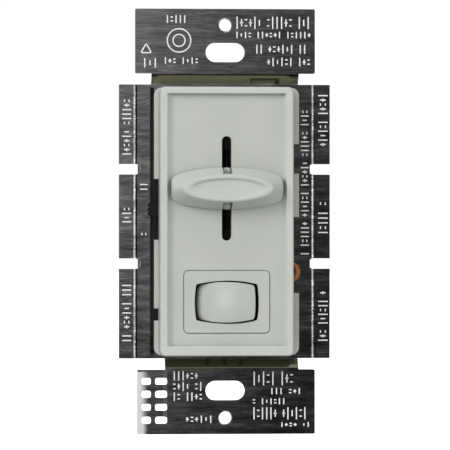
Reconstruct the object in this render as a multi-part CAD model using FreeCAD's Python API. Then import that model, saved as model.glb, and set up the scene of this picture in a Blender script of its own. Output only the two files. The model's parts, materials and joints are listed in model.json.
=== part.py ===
"""Slide dimmer for a standard single wall box: yoke, faceplate, rocker switch, slide and trim controls.

Frame: X to the right, Z up, Y into the wall. The origin lies on the rear face of the yoke's ears,
midway between the two box screw slots. The user stands on the -Y side. All sizes are in millimetres.
"""

import FreeCAD
import Part
import math
import os

Vector = FreeCAD.Vector

# ---------------------------------------------------------------- driving dimensions
# Yoke, pressed from one sheet.
BOX_SCREW_SPACING = 83.34
SCREW_STEP = 6.75  # box screw slot to wallplate screw
EAR_END = 3.98  # wallplate screw to the ear's end
WING_TO_SCREW = 5.17  # edge of the ear's wings to the box screw slot
SHEET = 1.5
JOGGLE = 2.0  # the middle plate lies this far behind the ears
BEND_FLAT = 0.08
BEND_ROUND = 1.0
EAR_MARGIN = 5.8  # ear edge outside the faceplate's edge
EAR_CORNER = 0.35
SCORE_MARGIN = 5.65  # score line outside the faceplate's edge
FIN_WIDTH = 4.05  # snap-off fin outside each score line
FIN_GAP = 2.6
FIN_GAP_HEIGHTS = (12.9, -10.4)
PLATE_MARGIN = 0.8  # plate edge above and below the faceplate
NECK_MARGIN = 1.75
SCREW_SLOT_LENGTH = 9.7
SCREW_SLOT_WIDTH = 4.8
WALLPLATE_HOLE_RADIUS = 1.55
HOLE_CHAMFER = 0.25
SCORE_WIDTH = 0.9
SCORE_DEPTH = 0.5
OPENING_MARGIN = 2.0  # opening outside the faceplate's left edge
OPENING_BAR = 5.3  # plate left above and below the opening
RELIEF_WIDTH = 0.95
OPENING_TO_TRIAC = 4.0

# Lattice pressed into the lower ear's left end.
LATTICE_NECK_GAP = 0.5  # the lower neck ends this far beside the lattice
LATTICE_EDGE = 0.5  # the lattice end is this much shorter than the ear
LATTICE_BAR = 1.1
LATTICE_SLOTS = (2.3, 3.0)
LATTICE_MIDDLE_BAR = 1.0
LATTICE_ROWS = 4
LATTICE_PITCH = 3.2
LATTICE_SLOT_HEIGHT = 1.75
LATTICE_FIRST_ROW = 2.85  # wing edge to the middle of the first row
LATTICE_FORM = 0.7
LATTICE_RAMP = 1.05

# Faceplate.
FACE_WIDTH = 32.8
FACE_RISE = 8.4  # rim above the plate's front
FACE_CORNER = 1.3
FACE_EDGE = 0.5
RIM_SIDE = 1.8
RIM_TOP = 1.7
RIM_BOTTOM = 2.5
RECESS_DEPTH = 1.3
COVE_WIDTH = 1.7
COVE_BEND = 0.3  # how near the cove's middle comes to its corner
FACE_WALL = 1.5
FACE_THICK = 1.6
FLANGE_LEFT = 1.1
FLANGE_RIGHT = 1.9
FLANGE_THICK = 1.6
FLANGE_CORNER = 2.0
PAD_WIDTH = 21.0
PAD_HEIGHT = 15.2
PAD_RISE = 0.25
PAD_CORNER = 1.1
PAD_GROOVE = 0.2
PAD_EDGE = 0.15
RIM_EDGE = 0.25
OPENING_EDGE = 0.2
SLOT_EDGE = 0.2
DRAIN_WIDTH = 0.85  # small notches in the lower wall
DRAIN_PITCH = 4.15
CATCH_WIDTH = 7.2  # notch in the upper wall
CATCH_MIDDLE = 10.0
CATCH_DEPTH = 0.5
SNAP_WIDTH = 5.0
SNAP_THICK = 1.2
SNAP_HOOK = 0.8
SNAP_HOOK_THICK = 0.95
SNAP_OFFSET = 7.5
LEFT_NOTCH_DROP = 16.9  # trim window's lower edge down to the notch in the left flange
LEFT_NOTCH = 3.0
RIVET_WINDOW = 18.8
RIVET_WINDOW_DROP = 5.25  # triac rivet down to its window's lower edge
RIGHT_NOTCH_RISE = 10.7  # rivet window's upper edge up to the notch in the right flange
RIGHT_NOTCH = 7.35
PAD_TO_RIM = 3.2
BEARING_WIDTH = 3.6
BEARING_GAP = 0.1

# Slider.
SLOT_TOP_INSET = 12.1  # face top to the slot's end
SLOT_TO_PAD = 7.4
SLOT_WIDTH = 2.3
SHUTTER_LENGTH = 10.3  # blade that fills the slot under the knob
SHUTTER_WIDTH = 1.94
SHUTTER_SUNK = 0.15
SHUTTER_END_GAP = 0.15
KNOB_SIDE_GAP = 0.95  # knob's ends to the recess's side edges
KNOB_HEIGHT = 10.3
KNOB_END_HEIGHT = 6.6
KNOB_END_BULGE = 0.45
KNOB_SKIRT = 1.0
KNOB_LIFT = 0.35  # knob's underside above the recess floor
KNOB_RISE = 5.05
KNOB_CREST_WIDTH = 21.8
KNOB_CREST_HEIGHT = 7.2
KNOB_CREST_BAND = 0.5
KNOB_DISH_WIDTH = 17.6
KNOB_DISH_HEIGHT = 4.1
KNOB_DISH_DEPTH = 0.5
KNOB_NOTCH = 2.3
KNOB_FOOT_INSET = (1.2, 0.2)  # the slopes start this much inside the skirt
TANG_LENGTH = 5.4
TANG_RISE = 3.2
SHOE_WIDTH = 6.0
SHOE_THICK = 1.2
SOCKET_WIDTH = 3.8
SOCKET_LENGTH = 6.0

# Rocker and its switch.
ROCKER_OPENING_WIDTH = 15.66
ROCKER_OPENING_HEIGHT = 10.46
ROCKER_SIDE_BULGE = 0.35
ROCKER_END_BULGE = 0.83
ROCKER_END_STRETCH = 1.2  # the end outline is cut this much wider than the opening
ROCKER_GAP = 0.27
ROCKER_OPENING_CORNER = 0.6
ROCKER_DROP = 0.1  # pad middle down to the rocker's middle
ROCKER_SWING = 7.0  # degrees each way from the middle
ROCKER_PROUD = 0.35  # crown above the pad, in the middle position
ROCKER_CROWN_WIDTH = 7.0
ROCKER_CROWN_SAG = 0.1
ROCKER_END_SLOPE = 10.0  # degrees
ROCKER_WALL = 1.2
ROCKER_SKIRT = 1.7  # pivot to the skirt's end
PIVOT_DEPTH = 2.75  # pad front to the pivot
PIVOT_RADIUS = 0.75
PIVOT_LENGTH = 1.4
BEARING_THICK = 1.6
LEG_RADIUS = 1.9
LEG_BORE = 1.25
LEG_REACH = 7.0  # pivot to the leg's end
BORE_START = 1.2
SPRING_LENGTH = 3.3
SPRING_WIRE = 0.32
SPRING_TURNS = 6
SPRING_GAP = 0.1  # at each end of the spring
PLUNGER_RADIUS = 1.1
PLUNGER_LENGTH = 5.6
PLUNGER_GAP = 0.15  # plunger tip to the blade in the middle position
BLADE_LENGTH = 13.0
BLADE_WIDTH = 4.4
BLADE_THICK = 0.5
BLADE_PIN_RADIUS = 0.6
BLADE_PIN_INSET = 0.6
BLADE_PIN_REACH = 1.3
CONTACT_RADIUS = 1.2
CONTACT_THICK = 0.5
CONTACT_OFFSET = 5.0
CONTACT_GAP = 0.05
TERMINAL_THICK = 0.6
CHEEK_THICK = 0.7
CHEEK_WIDTH = 2.4
CHEEK_GAP = 0.3
TRAVELLER_WIDTH = 2.6
LEG_STRIP = 1.4
SWITCH_WIDTH = 18.0
SWITCH_HEIGHT = 9.4
SWITCH_WALL = 1.0

# Trim control.
TRIM_WINDOW = 15.0
TRIM_WINDOW_DROP = 5.1  # slider slot's middle down to the trim window's middle
TRIM_END_GAP = 0.3
TRIM_HEIGHT = 3.2
TRIM_REACH = 2.8  # finger tab outside the faceplate's wall
TRIM_THICK = 0.95
TRIM_TEETH = 3
TRIM_TOOTH_TIP = 0.24
TRIM_STEM_WIDTH = 1.4
TRIM_STEM_INSET = 1.8  # faceplate edge in to the stem
TRIM_POT_WIDTH = 7.0
TRIM_POT_SPARE = 4.0

# Enclosure.
BOSS_SUNK = 0.1  # the cover's boss ends this far behind the plate's front
COVER_THICK = 1.2
HOUSING_MARGIN_LEFT = 3.6  # housing side outside the faceplate's edge
HOUSING_MARGIN_RIGHT = 4.9
HOUSING_LIP = 0.4  # housing end inside the plate's edge
HOUSING_WALL = 1.1
HOUSING_BACK = 1.6
HOUSING_DEPTH = 29.0
HOUSING_CORNER = 2.5
HOUSING_REAR_ROUND = 1.2
LEAD_EXIT_WIDTH = 18.0
LEAD_EXIT_HEIGHT = 8.0
LEAD_EXIT_INSET = 6.4
CORNER_RIVET_INSET = 2.9  # faceplate edge in to the corner rivets
CORNER_RIVET_DROP = 2.4
RIVET_SHANK = 1.15
RIVET_HEAD = 1.9
RIVET_HEAD_THICK = 0.8
RIVET_GRIP = 5.0
BOSS_RADIUS = 2.3
BOSS_LENGTH = 7.0

# Triac and its rivet.
TRIAC_WIDTH = 8.0
TRIAC_TAB_THICK = 1.3
TRIAC_TAB_LENGTH = 6.5
TRIAC_HOLE_INSET = 2.8
TRIAC_HOLE_RADIUS = 2.0
TRIAC_CASE_LENGTH = 9.2
TRIAC_CASE_THICK = 4.5
TRIAC_RIVET_HEIGHT = -12.45
TRIAC_PAD_THICK = 0.3
TRIAC_PAD_EDGE = 0.6
TRIAC_LEAD_PITCH = 2.3
TRIAC_LEAD = 0.7
TRIAC_LEAD_RUN = 3.0
TRIAC_RIVET_SHANK = 1.85
TRIAC_RIVET_BORE = 1.35
TRIAC_RIVET_RING = 2.6
TRIAC_RIVET_SEAT = 0.3
TRIAC_RIVET_BEAD = 0.42
TRIAC_RIVET_FOOT = 0.6
TRIAC_LEAD_HEIGHT = 2.6  # tab front to the leads
TRIAC_TAB_CHAMFER = 1.0
TRIAC_CASE_CHAMFER = 0.5

# Circuit board and the parts on it.
BOARD_STANDOFF = 11.0  # plate's rear face to the board's front face
BOARD_THICK = 1.6
BOARD_EDGE_GAP = 1.0
BOARD_CORNER = 2.0
POST_RADIUS = 2.2
POST_INSET = 3.2
BOARD_SCREW_RADIUS = 0.9
BOARD_SCREW_HEAD = 1.9
BOARD_SCREW_LENGTH = 7.0
BOARD_SCREW_HEAD_THICK = 1.3
BOARD_SCREW_SLOT = 0.5
POT_WIDTH = 9.0
POT_DEPTH = 6.5
POT_WALL = 0.8
POT_EXTRA_LENGTH = 14.0
TRACK_THICK = 0.5
CARRIAGE_LENGTH = 7.0
CARRIAGE_DEPTH = 2.4
LEVER_LENGTH = 4.0
LEVER_WIDTH = 1.5
WIPER_THICK = 0.3
WIPER_WIDTH = 2.0
WIPER_LENGTH = 5.4
WIPER_FLAT = 1.0
CHOKE_OUTER = 8.5
CHOKE_INNER = 4.4
CHOKE_DEPTH = 7.0
CHOKE_TURNS = 18
CHOKE_WIRE = 0.8
CHOKE_SWEEP = 320.0  # degrees of the ring that the turns cover
CHOKE_ROUND = 0.6
CHOKE_INSET = 3.2
CHOKE_DROP = 6.0
FILM_CAPACITOR = (17.5, 11.0, 6.5)
FILM_CAPACITOR_INSET = (11.9, 14.3)  # board's lower left corner to its middle
TIMING_CAPACITOR = (10.0, 9.0, 4.5)
TIMING_CAPACITOR_INSET = (7.9, 11.0)  # board's left edge, and up from the film capacitor
CAPACITOR_ROUND = 0.6
CAPACITOR_LEG_INSET = 1.5
SOLDER_LIFT = 0.5
SOLDER_RADIUS = 0.4  # a tinned lead where it enters the board
RESISTOR_RADIUS = 1.2
RESISTOR_LENGTH = 6.3
RESISTOR_LEAD = 0.3
RESISTOR_SPAN = 10.0
RESISTOR_PITCH = 3.4
RESISTOR_COUNT = 3
RESISTOR_INSET = (5.9, 10.1)  # board's left edge, and up from the timing capacitor
DIAC_RADIUS = 0.9
DIAC_LENGTH = 4.0
TERMINAL_SIZE = (4.0, 6.0, 5.0)
TERMINAL_GAP = 1.0
TERMINAL_BORE = 1.2
TERMINAL_FLOOR = 1.5

EMBED = 0.1  # a feature joined to a body starts this far inside it
PAST = 1.0  # a cutter runs this far past a face
CLEARANCE = 0.2  # between fixed pieces that pass through one another
RUNNING = 0.06  # between a pin and its bearing
SEAT = 0.05  # between a shank and its seat

# ---------------------------------------------------------------- places worked out from them
EAR_FRONT = -SHEET
PLATE_REAR = JOGGLE
PLATE_FRONT = JOGGLE - SHEET
BEND_SETBACK = SHEET * math.tan(math.radians(22.5))
BOX_SCREW_Z = BOX_SCREW_SPACING / 2
WALLPLATE_SCREW_Z = BOX_SCREW_Z + SCREW_STEP
EAR_END_Z = WALLPLATE_SCREW_Z + EAR_END
WING_Z = BOX_SCREW_Z - WING_TO_SCREW
PLATE_Z = WING_Z - BEND_FLAT - JOGGLE - BEND_SETBACK
FACE_Z = PLATE_Z - PLATE_MARGIN
FACE_X = FACE_WIDTH / 2
EAR_X = FACE_X + EAR_MARGIN
SCORE_X = FACE_X + SCORE_MARGIN
FIN_X = SCORE_X + FIN_WIDTH
NECK_X = FACE_X + NECK_MARGIN
LATTICE_X = EAR_X - LATTICE_EDGE
LATTICE_INNER_X = LATTICE_X - LATTICE_BAR - sum(LATTICE_SLOTS) - LATTICE_MIDDLE_BAR
HOUSING_LEFT = -FACE_X - HOUSING_MARGIN_LEFT
HOUSING_RIGHT = FACE_X + HOUSING_MARGIN_RIGHT
HOUSING_Z = PLATE_Z - HOUSING_LIP
CAVITY_LEFT = HOUSING_LEFT + HOUSING_WALL
CAVITY_RIGHT = HOUSING_RIGHT - HOUSING_WALL
CAVITY_Z = HOUSING_Z - HOUSING_WALL
HOUSING_REAR = PLATE_REAR + HOUSING_DEPTH
CAVITY_REAR = HOUSING_REAR - HOUSING_BACK
TRIAC_X = CAVITY_RIGHT - CLEARANCE / 2 - TRIAC_WIDTH / 2
OPENING_LEFT = -FACE_X - OPENING_MARGIN
OPENING_RIGHT = TRIAC_X - OPENING_TO_TRIAC
OPENING_Z = PLATE_Z - OPENING_BAR

FACE_FRONT = PLATE_FRONT - FACE_RISE
FLOOR = FACE_FRONT + RECESS_DEPTH
FACE_INSIDE = FLOOR + FACE_THICK
KNOB_WIDTH = 2 * (FACE_X - RIM_SIDE - KNOB_SIDE_GAP)
FLANGE_FRONT = PLATE_FRONT - FLANGE_THICK
FLANGE_LEFT_X = -FACE_X - FLANGE_LEFT
FLANGE_RIGHT_X = FACE_X + FLANGE_RIGHT
HOLLOW_X = FACE_X - FACE_WALL
HOLLOW_Z = FACE_Z - FACE_WALL
PAD_FRONT = FLOOR - PAD_RISE
PAD_MIDDLE_Z = -FACE_Z + RIM_BOTTOM + PAD_TO_RIM + PAD_HEIGHT / 2
ROCKER_Z = PAD_MIDDLE_Z - ROCKER_DROP

SLOT_LOW = PAD_MIDDLE_Z + PAD_HEIGHT / 2 + SLOT_TO_PAD
SLOT_HIGH = FACE_Z - SLOT_TOP_INSET
SLIDER_Z = (SLOT_LOW + SLOT_HIGH) / 2
SLIDER_TRAVEL = SLOT_HIGH - SLOT_LOW - SHUTTER_LENGTH - 2 * SHUTTER_END_GAP
TRIM_Z = SLIDER_Z - TRIM_WINDOW_DROP
TRIM_TRAVEL = TRIM_WINDOW - TRIM_HEIGHT - 2 * TRIM_END_GAP

BOSS_FRONT = PLATE_FRONT + BOSS_SUNK
COVER_REAR = PLATE_REAR + COVER_THICK
BOARD_FRONT = PLATE_REAR + BOARD_STANDOFF
BOARD_REAR = BOARD_FRONT + BOARD_THICK
BOARD_LEFT = CAVITY_LEFT + BOARD_EDGE_GAP
BOARD_RIGHT = CAVITY_RIGHT - BOARD_EDGE_GAP
BOARD_Z = CAVITY_Z - BOARD_EDGE_GAP
CORNER_RIVET_X = FACE_X - CORNER_RIVET_INSET
CORNER_RIVET_Z = FACE_Z - CORNER_RIVET_DROP
FILM_CAPACITOR_PLACE = (BOARD_LEFT + FILM_CAPACITOR_INSET[0], -BOARD_Z + FILM_CAPACITOR_INSET[1])
TIMING_CAPACITOR_PLACE = (
    BOARD_LEFT + TIMING_CAPACITOR_INSET[0],
    FILM_CAPACITOR_PLACE[1] + TIMING_CAPACITOR_INSET[1],
)
RESISTOR_PLACE = (BOARD_LEFT + RESISTOR_INSET[0], TIMING_CAPACITOR_PLACE[1] + RESISTOR_INSET[1])
POST_LEFT = BOARD_LEFT + POST_INSET
POST_RIGHT = BOARD_RIGHT - POST_INSET
POST_Z = BOARD_Z - POST_INSET

PIVOT_Y = PAD_FRONT + PIVOT_DEPTH
PLUNGER_TIP = BORE_START + SPRING_LENGTH + 2 * SPRING_GAP + PLUNGER_LENGTH
BLADE_Y = PIVOT_Y + PLUNGER_TIP + PLUNGER_GAP + BLADE_THICK / 2
BLADE_TILT = ROCKER_SWING
CONTACT_FACE = (
    BLADE_Y
    + (CONTACT_OFFSET + CONTACT_RADIUS) * math.sin(math.radians(BLADE_TILT))
    + (BLADE_THICK / 2 + CONTACT_THICK) * math.cos(math.radians(BLADE_TILT))
    + CONTACT_GAP
)
TRAVELLER_FRONT = CONTACT_FACE + CONTACT_THICK
SWITCH_FRONT = TRAVELLER_FRONT + TERMINAL_THICK
POT_FRONT = BOARD_FRONT - POT_DEPTH
TRIM_STEM_X = -FACE_X + TRIM_STEM_INSET + TRIM_STEM_WIDTH / 2
TRIM_REAR = PLATE_FRONT - CLEARANCE
TRIM_FRONT = TRIM_REAR - TRIM_THICK


# ---------------------------------------------------------------- shapes
def box(x, y, z):
    """A box from its (low, high) pairs along X, Y and Z."""
    size = (x[1] - x[0], y[1] - y[0], z[1] - z[0])
    return Part.makeBox(*size, Vector(x[0], y[0], z[0]))


def around(middle, size):
    """The (low, high) pair of a size laid evenly about a middle."""
    return (middle - size / 2, middle + size / 2)


def rod(axis, radius, span, at):
    """A cylinder along X, Y or Z over a (low, high) span; at is its place in the other two axes."""
    start = {
        "x": lambda: Vector(span[0], at[0], at[1]),
        "y": lambda: Vector(at[0], span[0], at[1]),
        "z": lambda: Vector(at[0], at[1], span[0]),
    }[axis]()
    direction = {"x": Vector(1, 0, 0), "y": Vector(0, 1, 0), "z": Vector(0, 0, 1)}[axis]
    return Part.makeCylinder(radius, span[1] - span[0], start, direction)


def prism(axis, span, start, *steps):
    """A prism along an axis. A step is an end point, or a (through, end) pair for an arc."""
    place = {
        "x": lambda p: Vector(span[0], p[0], p[1]),
        "y": lambda p: Vector(p[0], span[0], p[1]),
        "z": lambda p: Vector(p[0], p[1], span[0]),
    }[axis]
    sweep = {"x": Vector(1, 0, 0), "y": Vector(0, 1, 0), "z": Vector(0, 0, 1)}[axis]
    edges = []
    here = start
    for step in steps + (start,):
        if isinstance(step[0], tuple):
            through, end = step
            edges.append(Part.Arc(place(here), place(through), place(end)).toShape())
        else:
            end = step
            if end != here:
                edges.append(Part.makeLine(place(here), place(end)))
        here = end
    return Part.Face(Part.Wire(edges)).extrude(sweep * (span[1] - span[0]))


def plate(x, y, z, radius):
    """A box whose edges along Y are rounded."""
    block = box(x, y, z)
    upright = [edge for edge in block.Edges if abs(edge.tangentAt(edge.FirstParameter).y) > 0.9]
    return block.makeFillet(radius, upright)


def obround(x, y, z):
    """A slot cutter along Y with half-round ends on its longer side."""
    wide = x[1] - x[0]
    tall = z[1] - z[0]
    return plate(x, y, z, min(wide, tall) / 2 - 0.001)


def barrel(y, middle, width, height, side_bulge, end_bulge):
    """A prism along Y whose four sides bow outwards; width and height are taken at the middle."""
    half = width / 2
    tall = height / 2
    corner_x = half - side_bulge
    corner_z = tall - end_bulge
    x, z = middle
    return prism(
        "y",
        y,
        (x - corner_x, z - corner_z),
        ((x, z - tall), (x + corner_x, z - corner_z)),
        ((x + half, z), (x + corner_x, z + corner_z)),
        ((x, z + tall), (x - corner_x, z + corner_z)),
        ((x - half, z), (x - corner_x, z - corner_z)),
    )


def union(pieces):
    first, *rest = pieces
    return first.multiFuse(rest).removeSplitter() if rest else first


def cut(shape, cutters):
    return shape.cut(Part.makeCompound(cutters))


def edges_near(shape, test):
    """The straight or curved edges whose centre passes a test."""
    return [edge for edge in shape.Edges if test(edge.BoundBox)]


def close(a, b):
    return abs(a - b) < 0.01


def is_upright(b):
    """True for the bounds of an edge that runs along Y."""
    return b.XLength < 0.01 and b.ZLength < 0.01


def turned(shape, degrees, x, y):
    """A copy turned about the line along Z through (x, y)."""
    copy = shape.copy()
    copy.rotate(Vector(x, y, 0), Vector(0, 0, 1), degrees)
    return copy


def corners():
    """Places of the four rivets that hold yoke, cover and housing together."""
    return [
        (x, z)
        for x in (-CORNER_RIVET_X, CORNER_RIVET_X)
        for z in (-CORNER_RIVET_Z, CORNER_RIVET_Z)
    ]


# ---------------------------------------------------------------- yoke
def joggle(x, side):
    """The neck between the middle plate and an ear, bent back by the joggle; side is 1 or -1."""
    points = [
        (PLATE_FRONT, PLATE_Z),
        (EAR_FRONT, PLATE_Z + JOGGLE),
        (EAR_FRONT, WING_Z),
        (0, WING_Z),
        (0, PLATE_Z + JOGGLE + BEND_SETBACK),
        (PLATE_REAR, PLATE_Z + BEND_SETBACK),
        (PLATE_REAR, PLATE_Z),
    ]
    points = [(y, side * z) for y, z in points]
    return prism("x", x, *points)


def lattice_left(depth):
    """X of a point this far inside the lattice's left edge."""
    return -LATTICE_X + depth


def lattice_row(index):
    return -(WING_Z + LATTICE_FIRST_ROW + index * LATTICE_PITCH)


def lattice_cutters():
    """Two columns of slots with rounded corners."""
    columns = []
    start = LATTICE_BAR
    for width in LATTICE_SLOTS:
        columns.append((lattice_left(start), lattice_left(start + width)))
        start += width + LATTICE_MIDDLE_BAR
    through = (EAR_FRONT - PAST, PAST)
    slots = []
    for index in range(LATTICE_ROWS):
        for column in columns:
            tall = around(lattice_row(index), LATTICE_SLOT_HEIGHT)
            slots.append(plate(column, through, tall, LATTICE_SLOT_HEIGHT / 3))
    return slots


def lattice_rib_span(index):
    """Heights of the strip under a row of slots; the strip above the first row is -1."""
    low = lattice_row(index + 1) + LATTICE_SLOT_HEIGHT / 2
    high = lattice_row(index) - LATTICE_SLOT_HEIGHT / 2 if index >= 0 else -WING_Z
    return (low, high)


def lattice_rib(index, direction):
    """The strip between two rows of slots, pressed forwards (-1) or backwards (1)."""
    tall = lattice_rib_span(index)
    outer = lattice_left(LATTICE_BAR)
    inner = -LATTICE_INNER_X
    ramp = LATTICE_RAMP
    shift = direction * LATTICE_FORM
    return prism(
        "z",
        tall,
        (outer, EAR_FRONT),
        (outer + ramp, EAR_FRONT + shift),
        (inner - ramp, EAR_FRONT + shift),
        (inner, EAR_FRONT),
        (inner, 0),
        (inner - ramp, shift),
        (outer + ramp, shift),
        (outer, 0),
    )


def lattice_rib_cutter(index):
    tall = lattice_rib_span(index)
    return box((lattice_left(LATTICE_BAR), -LATTICE_INNER_X), (EAR_FRONT, 0), tall)


def screw_hole(side):
    """A tapped hole with a small lead-in on its front."""
    at = (0, side * WALLPLATE_SCREW_Z)
    hole = rod("y", WALLPLATE_HOLE_RADIUS, (EAR_FRONT - PAST, PAST), at)
    lead_in = Part.makeCone(
        WALLPLATE_HOLE_RADIUS + HOLE_CHAMFER,
        WALLPLATE_HOLE_RADIUS,
        HOLE_CHAMFER,
        Vector(at[0], EAR_FRONT, at[1]),
        Vector(0, 1, 0),
    )
    return [hole, lead_in]


def fin_gap(side, height):
    """The gap between two fins: open outwards, half round at the score line."""
    inner = SCORE_X
    half = FIN_GAP / 2
    wide = sorted((side * inner, side * (FIN_X + PAST)))
    through = (PLATE_FRONT - PAST, PLATE_REAR + PAST)
    return [
        box(wide, through, (height - half, height + half)),
        rod("y", half, through, (side * inner, height)),
    ]


def score(side):
    """A V groove along the line where the fins break off."""
    half = SCORE_WIDTH / 2
    x = side * SCORE_X
    return prism(
        "z",
        (-PLATE_Z - PAST, PLATE_Z + PAST),
        (x - half, PLATE_FRONT),
        (x + half, PLATE_FRONT),
        (x, PLATE_FRONT + SCORE_DEPTH),
    )


def yoke():
    flat = (EAR_FRONT, 0)
    lattice_neck = -LATTICE_INNER_X - LATTICE_NECK_GAP
    blanks = [
        box((-FIN_X, FIN_X), (PLATE_FRONT, PLATE_REAR), (-PLATE_Z, PLATE_Z)),
        plate((-EAR_X, EAR_X), flat, (WING_Z, EAR_END_Z), EAR_CORNER),
        plate((-LATTICE_X, EAR_X), flat, (-EAR_END_Z, -WING_Z), EAR_CORNER),
        joggle((-NECK_X, NECK_X), 1),
        joggle((lattice_neck, NECK_X), -1),
    ]
    shape = union(blanks)
    bends = edges_near(
        shape,
        lambda b: close(b.YMax, EAR_FRONT) and close(abs(b.ZMin), PLATE_Z + JOGGLE) and close(b.ZLength, 0),
    )
    shape = shape.makeFillet(BEND_ROUND, bends)

    through = (EAR_FRONT - PAST, PLATE_REAR + PAST)
    cutters = []
    for side in (1, -1):
        cutters.append(
            obround(
                around(0, SCREW_SLOT_LENGTH),
                through,
                around(side * BOX_SCREW_Z, SCREW_SLOT_WIDTH),
            )
        )
        cutters += screw_hole(side)
        cutters.append(score(side))
        for height in FIN_GAP_HEIGHTS:
            cutters += fin_gap(side, height)
    cutters += [rod("y", RIVET_SHANK + SEAT, through, at) for at in corners()]
    cutters.append(box((OPENING_LEFT, OPENING_RIGHT), through, (-OPENING_Z, OPENING_Z)))
    cutters.append(box((OPENING_LEFT, OPENING_LEFT + RELIEF_WIDTH), through, (-FACE_Z, FACE_Z)))
    cutters.append(rod("y", TRIAC_RIVET_SHANK + SEAT, through, (TRIAC_X, TRIAC_RIVET_HEIGHT)))
    cutters += lattice_cutters()
    ribs = range(-1, LATTICE_ROWS - 1)
    cutters += [lattice_rib_cutter(index) for index in ribs]
    shape = cut(shape, cutters)
    formed = [lattice_rib(index, 1 if index % 2 == 0 else -1) for index in ribs]
    return union([shape] + formed)


# ---------------------------------------------------------------- faceplate
def recess_cutter():
    """The sunk field of the faceplate, coved along its two long sides."""
    edge = FACE_X - RIM_SIDE
    low = edge - COVE_WIDTH
    bend = (edge - COVE_WIDTH * COVE_BEND, FACE_FRONT + RECESS_DEPTH * (1 - COVE_BEND))
    return prism(
        "z",
        (-FACE_Z + RIM_BOTTOM, FACE_Z - RIM_TOP),
        (-edge, FACE_FRONT - PAST),
        (-edge, FACE_FRONT),
        ((-bend[0], bend[1]), (-low, FLOOR)),
        (low, FLOOR),
        ((bend[0], bend[1]), (edge, FACE_FRONT)),
        (edge, FACE_FRONT - PAST),
    )


def pad():
    """The raised field around the rocker, with a fine groove along its foot."""
    wide = around(0, PAD_WIDTH)
    tall = around(PAD_MIDDLE_Z, PAD_HEIGHT)
    raised = plate(wide, (PAD_FRONT, FLOOR + EMBED), tall, PAD_CORNER)
    raised = raised.makeFillet(PAD_EDGE, edges_near(raised, lambda b: close(b.YMax, PAD_FRONT)))
    outer = plate(
        around(0, PAD_WIDTH + 2 * PAD_GROOVE),
        (FLOOR - EMBED, FLOOR + PAD_GROOVE),
        around(PAD_MIDDLE_Z, PAD_HEIGHT + 2 * PAD_GROOVE),
        PAD_CORNER + PAD_GROOVE,
    )
    groove = outer.cut(plate(wide, (FLOOR - PAST, FLOOR + PAST), tall, PAD_CORNER))
    return raised, groove


def snap_legs():
    """Four legs that pass through the yoke's opening and hook behind its upper and lower bars."""
    legs = []
    for side in (1, -1):
        for x in (-SNAP_OFFSET, SNAP_OFFSET):
            outer = side * (OPENING_Z - CLEARANCE)
            inner = outer - side * SNAP_THICK
            hook = outer + side * SNAP_HOOK
            wide = around(x, SNAP_WIDTH)
            end = PLATE_REAR + SEAT + SNAP_HOOK_THICK
            legs.append(box(wide, (FACE_INSIDE - EMBED, end), sorted((inner, outer))))
            legs.append(box(wide, (PLATE_REAR + SEAT, end), sorted((inner, hook))))
    return legs


def rocker_bearings():
    """Two lugs behind the faceplate that carry the rocker's pivot pins."""
    lugs = []
    for side in (1, -1):
        near = ROCKER_OPENING_HEIGHT / 2 + BEARING_GAP
        tall = sorted((ROCKER_Z + side * near, ROCKER_Z + side * (near + BEARING_THICK)))
        rear = PIVOT_Y + 2 * PIVOT_RADIUS
        lugs.append(box(around(0, BEARING_WIDTH), (FACE_INSIDE - EMBED, rear), tall))
    return lugs


def flange_window(side, high, low, through_wall):
    """A gap in one side's flange; it may also open the wall above the flange's foot."""
    inner = HOLLOW_X - EMBED if through_wall else FACE_X
    wide = sorted((side * inner, side * (FACE_X + FLANGE_RIGHT + PAST)))
    return box(wide, (FLANGE_FRONT, PLATE_FRONT + PAST), (low, high))


def soften(shape):
    """Rounds the front edges of the recess, the slider slot and the rocker opening."""
    rim_x = FACE_X - RIM_SIDE + EMBED
    half = ROCKER_OPENING_WIDTH / 2 + EMBED
    slot = SLOT_WIDTH / 2 + EMBED
    rim = edges_near(
        shape,
        lambda b: close(b.YMin, FACE_FRONT) and close(b.YLength, 0) and -rim_x < b.XMin and b.XMax < rim_x,
    )
    shape = shape.makeFillet(RIM_EDGE, rim)
    opening = edges_near(
        shape,
        lambda b: close(b.YMin, PAD_FRONT) and close(b.YLength, 0) and -half < b.XMin and b.XMax < half,
    )
    shape = shape.makeFillet(OPENING_EDGE, opening)
    ends = edges_near(
        shape,
        lambda b: close(b.YMin, FLOOR) and close(b.YLength, 0) and -slot < b.XMin and b.XMax < slot,
    )
    return shape.makeFillet(SLOT_EDGE, ends)


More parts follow.
